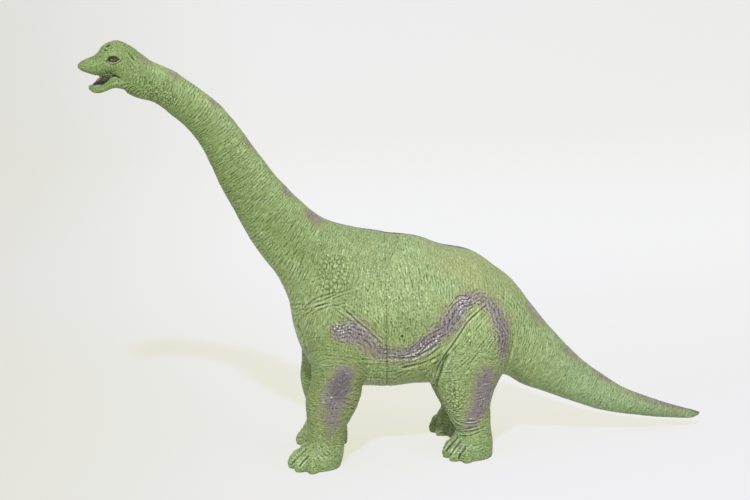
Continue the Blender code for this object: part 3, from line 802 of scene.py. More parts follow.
legPart = {"share": (0.45, 0.8), "top": (0.125, 0.04), "knee": (0.3, 0.6)}
smoothBack = {"up": (0.6, 0.93), "start": (9, 12)}
areas = {  # ovals of the picture
    "drawn": [((333, 298), (26, 18), -20), ((342, 353), (34, 22), 10), ((400, 367), (46, 14), 0),
              ((470, 342), (26, 34), 30), ((470, 427), (18, 13), 0), ((326, 453), (16, 12), 20)],
    "shoulderScales": [((333, 274), (15, 21), 30)],
    "flankScales": [((408, 318), (34, 26), -18), ((372, 292), (22, 30), 0)],
    "kneeScales": [((454, 399), (11, 18), 18)],
    "throatScales": [((158, 92), (22, 9), 32)],
}
muting = {  # how much one thing takes from the texture of another
    "back": 0.7, "drawnFlank": 0.8, "stripeFlank": 0.85, "stripeScales": 0.6,
    "shoulderScales": 0.7, "flankScales": 0.6, "kneeScales": 0.85, "drawn": 0.6,
}
ringLean = {"least": 0.1, "more": 0.45, "start": (12.5, 18.5), "end": (25, 6)}
kneePatches = {"size": 0.009, "seed": 81, "edge": (-0.3, 0.3), "least": 0.45}
grainShares = {"least": 0.3, "more": 0.7, "head": 0.8, "leg": 0.6, "neckLess": 0.1}
stripeReach = {"length": 290, "edge": (1.4, 0.6), "ends": (0.001, 0.04), "farSide": 99}
soles = {"smooth": (0.0004, 0.003), "flat": 0.0006}


def ridged(across, lengthways, pitch, run, seed, wander, depth):  # long parallel creases that drift and end
    habit = ridgeHabit

    def wave(sizes, layer):
        return cloud(np.column_stack([across / sizes[0], lengthways / sizes[1]]), seed + layer)

    drift = wander * wave(habit["drift"], 0) + habit["trembling"] * wave(habit["tremble"], 1)
    crease = np.exp(habit["sharp"] * (np.cos(2 * np.pi * (across / pitch + drift)) - 1))
    places = np.column_stack([across / pitch / habit["runs"], lengthways / run])
    ends = eased(cloud(places, seed + 2), *habit["ends"])
    return depth * (habit["level"] - crease * (habit["faint"] + (1 - habit["faint"]) * ends))


def spot(middle, half, tilt=0.0):  # 1 inside an oval of the picture, fading past its edge
    return fading(ovalShare(seen, middle, half, tilt)[0], 1.5, 0.8)


def spots(name):
    return np.max([spot(*oval) for oval in areas[name]], 0)


def strongest(places):  # of several ovals, each with a share of its own
    return np.max([spot(*oval) * share for share, *oval in places], 0)


def pebbled(size, seed, depth):
    return depth * (pebbles(skinPoints / (size * millimetre), seed) - 0.55)


def onRows(start=None, end=None):  # 1 on some rows along the back
    share = np.ones(len(row))
    if start:
        share = share * eased(row, *start)
    if end:
        share = share * fading(row, *end)
    return share


def alongStripe(share, values):  # a stripe's half width or strength, at a share along it
    return np.interp(share, np.linspace(0, 1, len(values)), values)


def muted(name, field):
    return 1 - muting[name] * field


inHead, onNeck, onTrunk, onTail = (onRows(**bodyParts[name]) for name in ("head", "neck", "trunk", "tail"))
onLeg = eased(legness, *legPart["share"]) * fading(skinPoints[:, 2], *legPart["top"])
upper = np.sin(angle)
# the top of the neck and back is smoother
backSmooth = eased(upper, *smoothBack["up"]) * eased(row, *smoothBack["start"])

stripeGap, stripeShare, stripeSide = nearLine(seen, stripes["flank"]["line"])
pixelSize = 0.85  # mm on the figure for one pixel of the picture
stripeAcross = stripeGap * stripeSide * pixelSize
stripeLength = stripeShare * stripeReach["length"] * pixelSize
nearStripe = fading(stripeGap / alongStripe(stripeShare, stripes["flank"]["half"]), *stripeReach["edge"])

drawn = spots("drawn")  # where the folds above already mark the skin
shoulderScales = spots("shoulderScales")
flankScales = spots("flankScales") * onTrunk
kneeScales = spots("kneeScales") * eased(legness, *legPart["knee"])
patches = eased(cloud(skinPoints / kneePatches["size"], kneePatches["seed"]), *kneePatches["edge"])
kneeScales *= kneePatches["least"] + (1 - kneePatches["least"]) * patches
throatScales = spots("throatScales")
calm = muted("drawnFlank", drawn) * muted("stripeFlank", nearStripe)

# the rings lean with the shoulder
lean = ringLean["least"] + ringLean["more"] * eased(row, *ringLean["start"])
leaning = (along + lean * fading(row, *ringLean["end"]) * aroundBody[:, 1]) / millimetre
aroundWays = aroundBody / millimetre
neckRings = ridged(leaning, aroundWays, **texture["neckRings"]) * onNeck * muted("back", backSmooth)
height += neckRings * muted("shoulderScales", shoulderScales) * muted("drawn", drawn)
flankLines = ridged(leaning, aroundWays, **texture["flankLines"]) * onTrunk * muted("back", backSmooth)
height += flankLines * (1 - onLeg) * calm * muted("flankScales", flankScales)
height += ridged(along / millimetre, aroundWays, **texture["tailRings"]) * onTail
legCreases = ridged(skinPoints[:, 2] / millimetre, aroundLeg / millimetre, **texture["legRings"])
height += legCreases * onLeg * muted("kneeScales", kneeScales) * muted("drawn", drawn)
stripeWays = np.column_stack([stripeLength, farSide * stripeReach["farSide"]])
stripeBody = endsEased(stripeShare, *stripeReach["ends"])
height += ridged(stripeAcross, stripeWays, **texture["stripeLines"]) * nearStripe * stripeBody
height += pebbled(**texture["stripeGrain"]) * nearStripe
height += pebbled(**texture["scales"]) * shoulderScales
height += pebbled(**texture["flankScales"]) * flankScales * muted("stripeScales", nearStripe)
height += pebbled(**texture["kneeScales"]) * kneeScales
height += pebbled(**texture["throatScales"]) * throatScales
grain = grainShares["more"] * np.maximum(grainShares["head"] * inHead, grainShares["leg"] * onLeg)
grain = grainShares["least"] + grain - grainShares["neckLess"] * onNeck * (1 - inHead)
height += pebbled(**texture["grain"]) * grain
lumpPlaces = skinPoints / (broadLumps["size"] * millimetre)
height += broadLumps["depth"] * layered(lumpPlaces, broadLumps["seed"], broadLumps["layers"])
height *= eased(skinPoints[:, 2], *soles["smooth"])
normals = movedTo(skin, skinPoints)
skinPoints = skinPoints + normals * (height * millimetre)[:, None]
skinPoints[:, 2] = np.where(skinPoints[:, 2] < soles["flat"], 0, skinPoints[:, 2])
relief = height - relaxed(height, skinEdges, 0.9, 6)  # what stands out from its surroundings
print("sculpting: texture moulded, relief", round(float(relief.std()), 3), "mm")

# the waist, where the two skins are glued
waist = {"turn": 9.0, "groove": 0.55, "width": 0.9, "least": 0.12, "more": 0.7, "lower": (310, 350)}
waistAcross = np.array([cos(radians(waist["turn"])), -sin(radians(waist["turn"])), 0])
waistPlace = np.array([shift[0], 0, waistHeight])
fromWaist = np.abs((skinPoints - waistPlace) @ waistAcross) / millimetre
seamStrength = waist["least"] + waist["more"] * eased(seen[:, 1], *waist["lower"])  # it shows on the belly
seam = np.exp(-(fromWaist / waist["width"])**2) * seamStrength
normals = movedTo(skin, skinPoints)
skinPoints = skinPoints - normals * (seam * waist["groove"] * millimetre)[:, None]

# paint and painted shade, as fields that the vinyl material reads

# where the skin shines more, and where highlights are painted into its colour: how much, then an oval
glossy = [
    (1.0, (391, 285), (4, 15), 2), (0.75, (362, 273), (4, 13), -8), (0.45, (372, 262), (16, 22), 0),
    (0.3, (330, 246), (20, 7), 52), (0.35, (420, 285), (26, 40), 10), (0.6, (462, 447), (15, 9), 10),
    (0.5, (452, 372), (10, 18), 10), (0.4, (250, 165), (9, 26), 32), (0.5, (324, 452), (12, 7), 10),
    (0.5, (135, 62), (6, 5), 0), (0.4, (100, 66), (12, 5), 10), (0.5, (640, 402), (36, 5), 14),
    (0.9, (424, 348), (20, 6), -32), (0.75, (342, 328), (12, 7), 8), (0.8, (340, 375), (9, 4), 0),
    (0.8, (331, 400), (9, 5), 0), (0.6, (479, 402), (8, 6), -20), (0.6, (467, 421), (8, 4), 0),
    (0.6, (392, 352), (9, 3), 0), (0.6, (400, 360), (10, 3), 0), (0.45, (466, 302), (10, 9), 0),
]
# thin touches of the same paint: middle, half sizes, tilt and cover
dabs = [
    ((145, 60), (8, 4), 35, 0.2), ((174, 73.5), (9, 5), 30, 0.3), ((214, 101), (9, 5), 42, 0.26),
    ((250, 145), (11, 4.5), 56, 0.26), ((289, 191), (11, 5), 45, 0.26), ((315, 216.5), (11, 7.5), 40, 0.4),
    ((535, 312), (15, 6), 52, 0.26), ((571, 352), (12, 5.5), 42, 0.24), ((604, 376), (13, 4.5), 30, 0.34),
    ((660, 401.5), (32, 5), 15, 0.32),
]


def stripeField(line, half, strong):  # 1 on the middle line of a stripe, 0 on its edge, less outside
    gap, share, side = nearLine(seen, line)
    return alongStripe(share, strong) - gap / alongStripe(share, half)


spray = {"none": -3.0, "outer": (-0.3, 0.25), "least": 0.05, "inner": 2, "dabEdge": 0.6}
paint = np.full(len(skinPoints), spray["none"])
outerSide = eased(normals[:, 1] * np.sign(skinPoints[:, 1]), *spray["outer"])
for stripe in stripes.values():
    field = stripeField(**stripe) - spray["inner"] * (1 - outerSide)
    paint = np.maximum(paint, np.where(outerSide > spray["least"], field, spray["none"]))
for *oval, cover in dabs:
    paint = np.maximum(paint, np.minimum(cover, cover + spray["dabEdge"] - ovalShare(seen, *oval)[0]))
paint = np.clip(paint, spray["none"], 1)

# the colour is deeper on the head, on the neck but for its top, on the legs and at the tail's end: partly
# the toy's deeper green, partly painted shade, with the neck's top left lighter as if lit and painted
# shadows in two hollows
deeper = {
    "neckEnd": 19.5, "lowerSide": 3.5, "over": 6, "neck": 1.1, "top": 0.9, "head": 0.15,
    "leg": 0.4, "shin": 0.5, "foreEnd": (25, 2), "tail": 0.8, "tailStart": (33, 36.5),
    "hollows": [(0.6, (398, 328), (32, 12), -12), (0.75, (330, 350), (24, 15), 0)],
}
# a dark brown line along the top of the neck, back and tail: the brown spray there together with painted
# shade at the top edge
crestLine = {"aside": 0.14, "width": (0.002, 0.08), "start": (7, 9.5)}
tone = fading(row, deeper["neckEnd"] + deeper["lowerSide"] * eased(upper, -0.6, 0), deeper["over"])
onTop = eased(upper, 0.1, 0.8) * eased(row, 7, 9)
tone *= deeper["neck"] - deeper["top"] * onTop - deeper["head"] * inHead
onShin = eased(skinPoints[:, 2], 0.015, 0.03) * fading(row, *deeper["foreEnd"])
tone = np.maximum(tone, onLeg * (deeper["leg"] + deeper["shin"] * onShin))
tone = np.maximum(tone, deeper["tail"] * eased(row, *deeper["tailStart"]))
tone = np.maximum(tone, strongest(deeper["hollows"]))
gloss = strongest(glossy)
crestWidth = crestLine["width"][0] + crestLine["width"][1] * radius
crest = np.exp(-((aroundBody[:, 0] - crestLine["aside"] * radius) / crestWidth)**2)
crest *= (upper > 0) * eased(row, *crestLine["start"])
# painted shade: the colour darker on the underside of the neck, trunk and tail
under = eased(-upper, -0.1, 0.75) * (1 - onLeg) * eased(row, 7, 10)

mouthOutline = np.array([
    (99, 78), (101, 76.7), (106, 75.8), (114, 75.0), (115, 76.2), (110, 77.7), (107.3, 81),
    (104.4, 83.3), (100.6, 85.5), (95.5, 85.6), (93, 84.4), (90.5, 82.4), (95.5, 80),
])
mouthEdge = {"soft": (-1.2, 0.3), "cheek": (0.86, 0.14)}  # in pixels, and as shares of the jaw's width


def insideShare(seen, outline):  # signed distance to a closed outline in pixels, more inside
    gap = nearLine(seen, np.vstack([outline, outline[:1]]))[0]
    inside = np.zeros(len(seen), bool)
    for (x1, y1), (x2, y2) in zip(outline, np.roll(outline, -1, 0)):
        crossing = (y1 > seen[:, 1]) != (y2 > seen[:, 1])
        with np.errstate(divide="ignore", invalid="ignore"):
            inside ^= crossing & (seen[:, 0] < (x2 - x1) * (seen[:, 1] - y1) / (y2 - y1) + x1)
    return np.where(inside, gap, -gap)


jawFine = refined(jaw, form["rowSteps"])
jawWidth = np.interp(skinPoints[:, 0] - shift[0], jawFine[:, 0], jawFine[:, 3])
innerSide = fading(np.abs(skinPoints[:, 1]) / np.maximum(jawWidth, 1e-4), *mouthEdge["cheek"])
mouth = eased(insideShare(seen, mouthOutline), *mouthEdge["soft"]) * innerSide * inHead

reliefUnit = 0.25  # mm
fields = {
    "stripe": paint,
    "relief": np.clip(relief / reliefUnit, -2, 2),
    "mouth": mouth,
    "seam": seam,
    "leg": onLeg,
    "crest": crest,
    "under": under,
    "tone": tone,
    "gloss": gloss,
    "head": inHead,
}
vectorFields = {
    "flow": np.column_stack([leaning, aroundWays]),
    "legFlow": np.column_stack([skinPoints[:, 2], aroundLeg]) / millimetre,
    "eyePlace": np.column_stack([eyeAcross, eyeDown, almond]),
    "picturePlace": np.column_stack([seen, farSide]),
}
movedTo(skin, skinPoints)
for name, values in fields.items():
    skin.attributes.new(name, "FLOAT", "POINT").data.foreach_set("value", values.astype(np.float32))
for name, values in vectorFields.items():
    layer = skin.attributes.new(name, "FLOAT_VECTOR", "POINT")
    layer.data.foreach_set("vector", values.astype(np.float32).ravel())
print("paint: stripes, mouth and eyes laid out")

# the two skins, hollow inside
hollow = {"noseRings": 5, "tailRings": 2, "voxel": 0.004, "settling": 2, "spigotStart": 0.004}
waistRow = len(headRows) + len(neckRows) + len(shoulderRows)


def cutAtWaist(shape, keepFront, ahead=0.0):  # keeps one side of the waist, or of a plane ahead of it
    bmesh.ops.bisect_plane(shape, geom=shape.verts[:] + shape.edges[:] + shape.faces[:],
                           plane_co=Vector(waistPlace - waistAcross * ahead), plane_no=Vector(waistAcross),
                           clear_outer=keepFront, clear_inner=not keepFront)


def cavityMesh():  # the hollow of the whole figure, one wall inside the plain forms
    wall, steps = form["wall"], form["rowSteps"]
    inner = spine[hollow["noseRings"]:-hollow["tailRings"]]
    shapes = [loftedShape(ringsOf(refined(inner, steps), form["trunkSides"], wall) + shift)]
    for leg in (foreleg, hindleg):
        for side in (-1, 1):
            rows = refined(legRows(leg, side)[1:], steps)
            rows = rows[rows[:, 1] > form["soleWall"]]
            shapes.append(loftedShape(legRings(rows, side, form["legSides"], wall) + shift))
    mesh = unionOf("roughCavity", shapes, hollow["voxel"])
    movedTo(mesh, relaxed(meshPoints(mesh), meshEdges(mesh), 0.5, hollow["settling"]))
    return mesh


def openEdges(shape):
    return [edge for edge in shape.edges if edge.is_boundary]


def waistRing(shape, behind, inset):  # a loop of edges at a distance behind the waist
    here, after = spine[waistRow], spine[waistRow + 1]
    ring = ringsOf((here + (after - here) * behind / (after[0] - here[0]))[None], form["trunkSides"], inset)
    corners = [shape.verts.new(point) for point in (ring[0] + shift).tolist()]
    return [shape.edges.new(pair) for pair in zip(corners, corners[1:] + corners[:1])]


def addInnerWall(mesh, keepFront):  # closes an open skin with its inner wall, the front one with its spigot
    shape = bmesh.new()
    shape.from_mesh(mesh)
    rim = openEdges(shape)
    inside = bmesh.new()
    inside.from_mesh(cavity)
    cutAtWaist(inside, keepFront, hollow["spigotStart"] if keepFront else 0.0)
    bmesh.ops.reverse_faces(inside, faces=inside.faces)
    innerWall = bpy.data.meshes.new("innerWall")
    inside.to_mesh(innerWall)
    inside.free()
    outerFaces = set(shape.faces)
    shape.from_mesh(innerWall)
    known = set(rim)
    innerRim = [edge for edge in openEdges(shape) if edge not in known]
    loops = [rim]
    if keepFront:
        outer = form["wall"] + form["glueSpace"]
        inner = outer + form["wall"]
        for behind, inset in ((0.0, outer), (form["spigot"], outer), (form["spigot"], inner), (0.0, inner)):
            loops.append(waistRing(shape, behind, inset))
    loops.append(innerRim)
    for first, second in zip(loops, loops[1:]):
        bmesh.ops.bridge_loops(shape, edges=first + second)
    bmesh.ops.recalc_face_normals(shape, faces=shape.faces)
    for face in shape.faces:
        face.material_index = 0 if face in outerFaces else 1
    print("inner wall:", len(shape.faces), "faces,", len(openEdges(shape)), "open edges")
    shape.to_mesh(mesh)
    shape.free()


cavity = cavityMesh()


def halfSkin(name, node, keepFront):
    shape = bmesh.new()
    shape.from_mesh(skin)
    cutAtWaist(shape, keepFront)
    mesh = bpy.data.meshes.new(name)
    shape.to_mesh(mesh)
    shape.free()
    piece = newObject(name, mesh)
    mesh.calc_loop_triangles()
    ratio = skinMould["triangles"] / len(mesh.loop_triangles)
    if ratio < 1:
        piece.modifiers.new("thinning", "DECIMATE").ratio = ratio
        piece.data = applied(piece)
        piece.modifiers.clear()
    addInnerWall(piece.data, keepFront)
    piece.data.shade_smooth()
    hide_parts(node)
    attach(piece, "root")
    return piece


fibre = {
    "voxel": 0.0022, "rounding": 6, "lump": 0.012, "strand": 0.0045, "stretch": (0.35, 1.0, 1.0),
    "deep": 0.0022, "tuft": 0.0007, "clear": 0.0002, "fill": 0.5, "seed": 600, "seedStep": 7,
}
wads = {
    "neckWad": "neck_filling", "chestWad": "chest_filling",
    "hipWad": "hip_filling", "tailWad": "tail_filling",
    "leftForelegWad": "left_foreleg_filling", "rightForelegWad": "right_foreleg_filling",
    "leftHindlegWad": "left_hindleg_filling", "rightHindlegWad": "right_hindleg_filling",
}


def fibreWad(name, node, seed):  # one hand-packed wad, lumpy where the fibre is teased and rolled
    wad = newObject(name, bpy.data.objects[node].data.copy())
    wad.matrix_world = bpy.data.objects[node].matrix_world.copy()
    mesh = voxelled(wad, fibre["voxel"])
    wad.modifiers.clear()
    wad.data = mesh
    points, edges = meshPoints(mesh), meshEdges(mesh)
    points = relaxed(points, edges, 0.5, fibre["rounding"])
    facing = movedTo(mesh, points)
    size = points / fibre["lump"]
    stretched = points * fibre["stretch"]
    hollows = 0.5 + 0.5 * layered(size, seed, 3)
    strands = 1 - np.abs(layered(stretched / fibre["strand"], seed + 40, 2))
    depth = fibre["deep"] * np.clip(hollows, 0, 1) + fibre["tuft"] * np.clip(strands, 0, 1) + fibre["clear"]
    movedTo(mesh, points - facing * depth[:, None])
    mesh.shade_smooth()
    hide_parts(node)
    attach(wad, "root")
    return wad


fibreWads = [fibreWad(name, node, fibre["seed"] + fibre["seedStep"] * number)
             for number, (name, node) in enumerate(wads.items())]
print("fibre:", len(fibreWads), "wads packed,", sum(len(wad.data.polygons) for wad in fibreWads), "faces")

frontSkin = halfSkin("frontSkin", "front_skin", True)
rearSkin = halfSkin("rearSkin", "rear_skin", False)
for piece in (frontSkin, rearSkin):
    piece.data.calc_loop_triangles()
    print(piece.name, len(piece.data.loop_triangles), "triangles")

# materials


class Wire:  # a socket that can stand in a sum
    def __init__(self, recipe, socket):
        self.recipe = recipe
        self.socket = socket

    def joined(self, operation, first, second):
        return self.recipe.add("Math", {"operation": operation}, {0: first, 1: second})

    def __add__(self, other):
        return self.joined("ADD", self, other)

    def __radd__(self, other):
        return self.joined("ADD", other, self)

    def __sub__(self, other):
        return self.joined("SUBTRACT", self, other)

    def __rsub__(self, other):
        return self.joined("SUBTRACT", other, self)

    def __mul__(self, other):
        return self.joined("MULTIPLY", self, other)

    def __rmul__(self, other):
        return self.joined("MULTIPLY", other, self)

    def __abs__(self):
        return self.joined("ABSOLUTE", self, 0.0)


class Recipe:  # one material, or the world, built node by node
    def __init__(self, owner):
        owner.use_nodes = True
        self.owner = owner
        self.tree = owner.node_tree
        self.tree.nodes.clear()

    def add(self, kind, settings=None, sockets=None, output=0):
        node = self.tree.nodes.new("ShaderNode" + kind)
        for key, value in (settings or {}).items():
            setattr(node, key, value)
        for key, value in (sockets or {}).items():
            if isinstance(value, Wire):
                self.tree.links.new(value.socket, node.inputs[key])
            else:
                node.inputs[key].default_value = value
        return Wire(self, node.outputs[output]) if node.outputs else node

    def field(self, name, output="Fac"):
        return self.add("Attribute", {"attribute_name": name}, output=output)

    def fade(self, value, low, high):  # 0 below low, 1 above high, eased between
        return self.add("MapRange", {"interpolation_type": "SMOOTHSTEP"},
                        {0: value, 1: low, 2: high, 3: 0.0, 4: 1.0})

    def mix(self, first, second, share, blend="MIX"):
        return self.add("Mix", {"data_type": "RGBA", "blend_type": blend}, {0: share, 6: first, 7: second},
                        output=2)

    def scaled(self, vector, factors):
        return self.add("VectorMath", {"operation": "MULTIPLY"}, {0: vector, 1: factors})

    def noise(self, vector, scale=1.0, detail=3.0, rough=0.5):
        return self.add("TexNoise", {}, {"Vector": vector, "Scale": scale, "Detail": detail,
                                         "Roughness": rough}, output="Fac")

    def parts(self, vector):
        node = self.add("SeparateXYZ", {}, {0: vector}).socket.node
        return [Wire(self, socket) for socket in node.outputs]

    def oval(self, across, down, middle, half, tilt=0, soft=0.35):  # 1 inside an oval, fading at its rim
        right, low = across - middle[0], down - middle[1]
        along, aside = cos(radians(tilt)), sin(radians(tilt))
        place = self.add("CombineXYZ", {}, {0: (right * along + low * aside) * (1 / half[0]),
                                            1: (low * along - right * aside) * (1 / half[1])})
        length = self.add("VectorMath", {"operation": "LENGTH"}, {0: place}, output="Value")
        return self.fade(length, 1 + soft, 1 - soft)

    def seenDirectly(self):  # 1 for the camera, for gloss and through glass
        node = self.add("LightPath", output="Is Camera Ray").socket.node
        first, second, third = (Wire(self, node.outputs["Is " + kind + " Ray"])
                                for kind in ("Camera", "Glossy", "Transmission"))
        return first.joined("MAXIMUM", first, first.joined("MAXIMUM", second, third))

    def bump(self, height, strength, distance):
        return self.add("Bump", {}, {"Height": height, "Strength": strength, "Distance": distance})

    def principled(self, sockets):
        return self.finish(self.add("BsdfPrincipled", {}, sockets))

    def finish(self, shader, kind="Material"):
        self.add("Output" + kind, {}, {"Surface": shader})
        return self.owner


def colour(red, green, blue):  # written as seen on a screen, 0 to 255
    def linear(value):
        value /= 255
        return value / 12.92 if value <= 0.04045 else ((value + 0.055) / 1.055)**2.4
    return linear(red), linear(green), linear(blue), 1.0


vinyl = {
    # shade and light: painted shade for the creases and painted highlight for the ridges
    "green": (150, 169, 117), "shade": (66, 84, 42), "light": (200, 213, 178),
    "cool": (143, 165, 117), "warm": (164, 175, 113), "under": (126, 146, 88), "crest": (66, 54, 48),
    "deep": (117, 137, 83), "tail": (136, 165, 137), "glint": (232, 240, 232),
    "purple": (130, 121, 129), "purpleShade": (56, 50, 58), "purpleHighlight": (230, 227, 242),
    "halo": (150, 142, 94), "mouthShade": (46, 56, 42),
    "lid": (182, 144, 118), "eyeCreaseShade": (70, 88, 46),
    "bodyGrain": (0.9, 0.16, 0.16), "legGrain": (0.8, 0.2, 0.2),  # the grain runs round the body and legs
    "headGrain": 460.0, "speck": 900.0, "broad": 28.0, "middling": 150.0,
    "tailStart": (520.0, 600.0), "tailCalm": 0.45,
    "rough": 0.42, "roughSpread": 0.16, "stripeRough": 0.30, "eyeRough": 0.24,
    "fineBump": 0.8, "bumpDepth": 0.0005,
    "specular": 0.2, "glossCoat": 0.9, "stripeCoat": 0.4, "coatBase": 0.1, "coatRough": 0.15,
}

# small marks, as ovals of the picture: colour and cover, and on one side alone; touches of the toy's own
# paint, and painted shade in the nostrils, under a bump on the snout, in the pinholes and in the hollow of
# the groin
marks = [
    # painted shade in the two nostrils, and under the bump below them
    ((107.9, 45.9), (1.8, 1.1), -35, (34, 44, 20), 0.9),
    ((105, 50.4), (1.2, 0.9), -25, (56, 76, 30), 0.85),
    ((101.4, 56.3), (1.7, 0.8), -15, (80, 104, 48), 0.6),
    ((104.6, 79.4), (2, 2.4), 35, (76, 84, 80), 0.6),
    ((98.9, 79), (3.3, 0.75), -42, (196, 140, 118), 0.8),
    ((93.6, 82.6), (2.9, 1.7), -20, (24, 22, 18), 0.95),
    ((98, 85.6), (3.6, 1), -10, (176, 172, 152), 0.5),
    ((368, 350), (11, 5), 48, (148, 132, 112), 0.35),
    ((474, 268), (56, 22), 24, (158, 158, 114), 0.3),
    ((340, 386), (10, 15), 18, (82, 74, 84), 0.45),
    ((459, 446), (7, 5), 30, (120, 124, 112), 0.4),
    ((317, 452), (5, 4), 30, (142, 154, 134), 0.4),
    # painted shade in the two pinholes, on the near side alone
    ((402, 336), (1.3, 1), 0, (30, 30, 22), 0.95, "near"),
    ((404.2, 340.2), (0.9, 0.8), 0, (40, 40, 28), 0.8, "near"),
    # painted shade in the hollow of the groin
    ((440, 362), (3.4, 11), 30, (62, 78, 40), 0.45),
]
# the eye's paint: middle, half sizes, softness, colour and cover, where the eye's rim is 1 from its middle;
# the dark band along the upper lid is outline paint together with painted shade, and the pale spot is a
# painted reflection
eyePaints = [
    ((0, -0.1), (1.06, 1.06), 0.14, (36, 42, 24), 0.96), ((-0.1, -1), (0.95, 0.5), 0.4, (36, 40, 18), 0.85),
    ((-1.05, 0.15), (0.3, 0.3), 0.5, (30, 36, 18), 0.85), ((0, 0.25), (0.5, 0.38), 0.5, (74, 96, 72), 0.7),
    ((-0.32, -0.1), (0.2, 0.24), 0.5, (150, 166, 158), 0.5),
    ((0.5, -0.45), (0.42, 0.26), 0.5, (116, 58, 44), 0.75),
    ((1, -0.04), (0.2, 0.24), 0.4, (22, 18, 10), 0.9),
]


def vinylMaterial():
    recipe = Recipe(bpy.data.materials.new("paintedVinyl"))

    def over(base, name, share):
        return recipe.mix(base, colour(*vinyl[name]), share)

    flow = recipe.field("flow", "Vector")
    legFlow = recipe.field("legFlow", "Vector")
    place = recipe.add("TexCoord", output="Object")
    onLegs, relief, stripe, seam, mouth = (recipe.field(name) for name in (
        "leg", "relief", "stripe", "seam", "mouth"))
    crest, under, tone, gloss, onHead = (recipe.field(name) for name in (
        "crest", "under", "tone", "gloss", "head"))
    eyeAcross, eyeDown, almond = recipe.parts(recipe.field("eyePlace", "Vector"))
    across, down, far = recipe.parts(recipe.field("picturePlace", "Vector"))
    fineBody = recipe.noise(recipe.scaled(flow, vinyl["bodyGrain"]))
    fineLeg = recipe.noise(recipe.scaled(legFlow, vinyl["legGrain"]))
    fine = fineBody + (fineLeg - fineBody) * onLegs
    fine = fine + (recipe.noise(place, vinyl["headGrain"]) - fine) * onHead
    speck = recipe.noise(place, vinyl["speck"], 2.0)
    broad = recipe.noise(place, vinyl["broad"], 2.0)
    middling = recipe.noise(place, vinyl["middling"])
    lines = recipe.fade(abs(fine - 0.5), 0.0, 0.07)
    onTail = recipe.fade(across, *vinyl["tailStart"])
    fine = fine + (0.5 - fine) * onTail * vinyl["tailCalm"]
    depth = relief * 0.85 + (lines - 0.75) * 0.95 + (fine - 0.5) * 1.3 + (speck - 0.5) * 0.7
    low = 0 - depth

    green = over(colour(*vinyl["green"]), "cool", recipe.fade(broad, 0.35, 0.65))
    green = over(green, "warm", recipe.fade(middling, 0.5, 0.75) * 0.35)
    # painted shade on the underside
    green = over(green, "under", under * 0.25)
    # the deeper green, partly painted shade
    green = over(green, "deep", tone * 0.8)
    green = over(green, "tail", onTail * 0.4)
    # painted shade in the creases and painted highlights on the ridges, over the toy's own darker wash and
    # dry-brushed lighter green
    green = over(green, "shade", recipe.fade(low, -0.05, 1.25) * 0.95)
    green = over(green, "light", recipe.fade(depth, 0.1, 1.1) * (0.62 - tone * 0.3 - onHead * 0.2))

    ragged = stripe + (middling - 0.5) * 1.4 + depth * 0.12  # the sprayed edge
    painted = recipe.fade(ragged, -0.4, 0.8) * (0.78 + recipe.fade(broad, 0.3, 0.6) * 0.18)
    # the stripe paint with painted shade in its creases and painted highlights on its ridges
    purple = over(colour(*vinyl["purple"]), "purpleShade", recipe.fade(low, 0.1, 1.0) * 0.9)
    purple = over(purple, "purpleHighlight", recipe.fade(depth, 0.45, 1.1) * (gloss * 0.7 + 0.2))
    coat = over(green, "halo", recipe.fade(ragged, -0.9, 0.2) * 0.35)
    coat = over(coat, "crest", recipe.fade(crest + (middling - 0.5) * 0.6, 0.2, 0.7) * 0.85)
    coat = recipe.mix(coat, purple, painted)
    # painted highlights: pale glints on the ridges where the skin shines
    coat = over(coat, "glint", recipe.fade(depth, 0.75, 1.25) * recipe.fade(gloss, 0.3, 1.0))
    coat = over(coat, "shade", recipe.fade(seam, 0.3, 0.9) * 0.6)
    # painted shade inside the open mouth
    coat = over(coat, "mouthShade", recipe.fade(mouth, 0.3, 0.7))
    for middle, half, tilt, shade, cover, *side in marks:
        share = recipe.oval(across, down, middle, half, tilt)
        if side:
            share = share * (1 - far)
        coat = recipe.mix(coat, colour(*shade), share * cover)

    lowSide = recipe.fade(eyeDown, 0.1, 0.5)
    lid = recipe.fade(almond, 1.0, 1.1) * recipe.fade(almond, 1.32, 1.2) * lowSide
    coat = over(coat, "lid", lid * 0.5)
    # painted shade in the crease below the lower lid
    crease = recipe.fade(almond, 1.36, 1.5) * recipe.fade(almond, 1.82, 1.6) * lowSide
    coat = over(coat, "eyeCreaseShade", crease * 0.6)
    for middle, half, soft, shade, cover in eyePaints:
        share = recipe.oval(eyeAcross, eyeDown, middle, half, 0, soft)
        coat = recipe.mix(coat, colour(*shade), share * cover)
    onEye = recipe.fade(almond, 1.0, 0.85)

    rough = recipe.fade(speck, 0.0, 1.0) * vinyl["roughSpread"] + (vinyl["rough"] - vinyl["roughSpread"] / 2)
    rough = rough + painted * (vinyl["stripeRough"] - vinyl["rough"])
    rough = rough + onEye * (vinyl["eyeRough"] - vinyl["rough"])
    shine = gloss * vinyl["glossCoat"] + painted * vinyl["stripeCoat"] + vinyl["coatBase"]
    return recipe.principled({
        "Base Color": coat, "Roughness": rough, "Specular IOR Level": vinyl["specular"],
        "Normal": recipe.bump(fine + lines * 0.5 + speck * 0.5, vinyl["fineBump"], vinyl["bumpDepth"]),
        "Coat Weight": shine * recipe.fade(depth, -0.2, 0.6), "Coat Roughness": vinyl["coatRough"]})


def plainVinyl():  # the unpainted inside of a moulding, glossier where it ran in the mould
    recipe = Recipe(bpy.data.materials.new("plainVinyl"))
    place = recipe.add("TexCoord", output="Object")
    broad = recipe.noise(place, 22.0, 2.0)
    runs = recipe.noise(recipe.scaled(place, (140.0, 140.0, 30.0)), 1.0, 3.0)
    coat = recipe.mix(colour(128, 146, 92), colour(142, 158, 104), recipe.fade(broad, 0.35, 0.65))
    coat = recipe.mix(coat, colour(108, 126, 74), recipe.fade(runs, 0.52, 0.75) * 0.5)
    return recipe.principled({"Base Color": coat, "Normal": recipe.bump(runs, 0.4, 0.0006),
                              "Roughness": recipe.fade(runs, 0.2, 0.8) * 0.2 + 0.25})


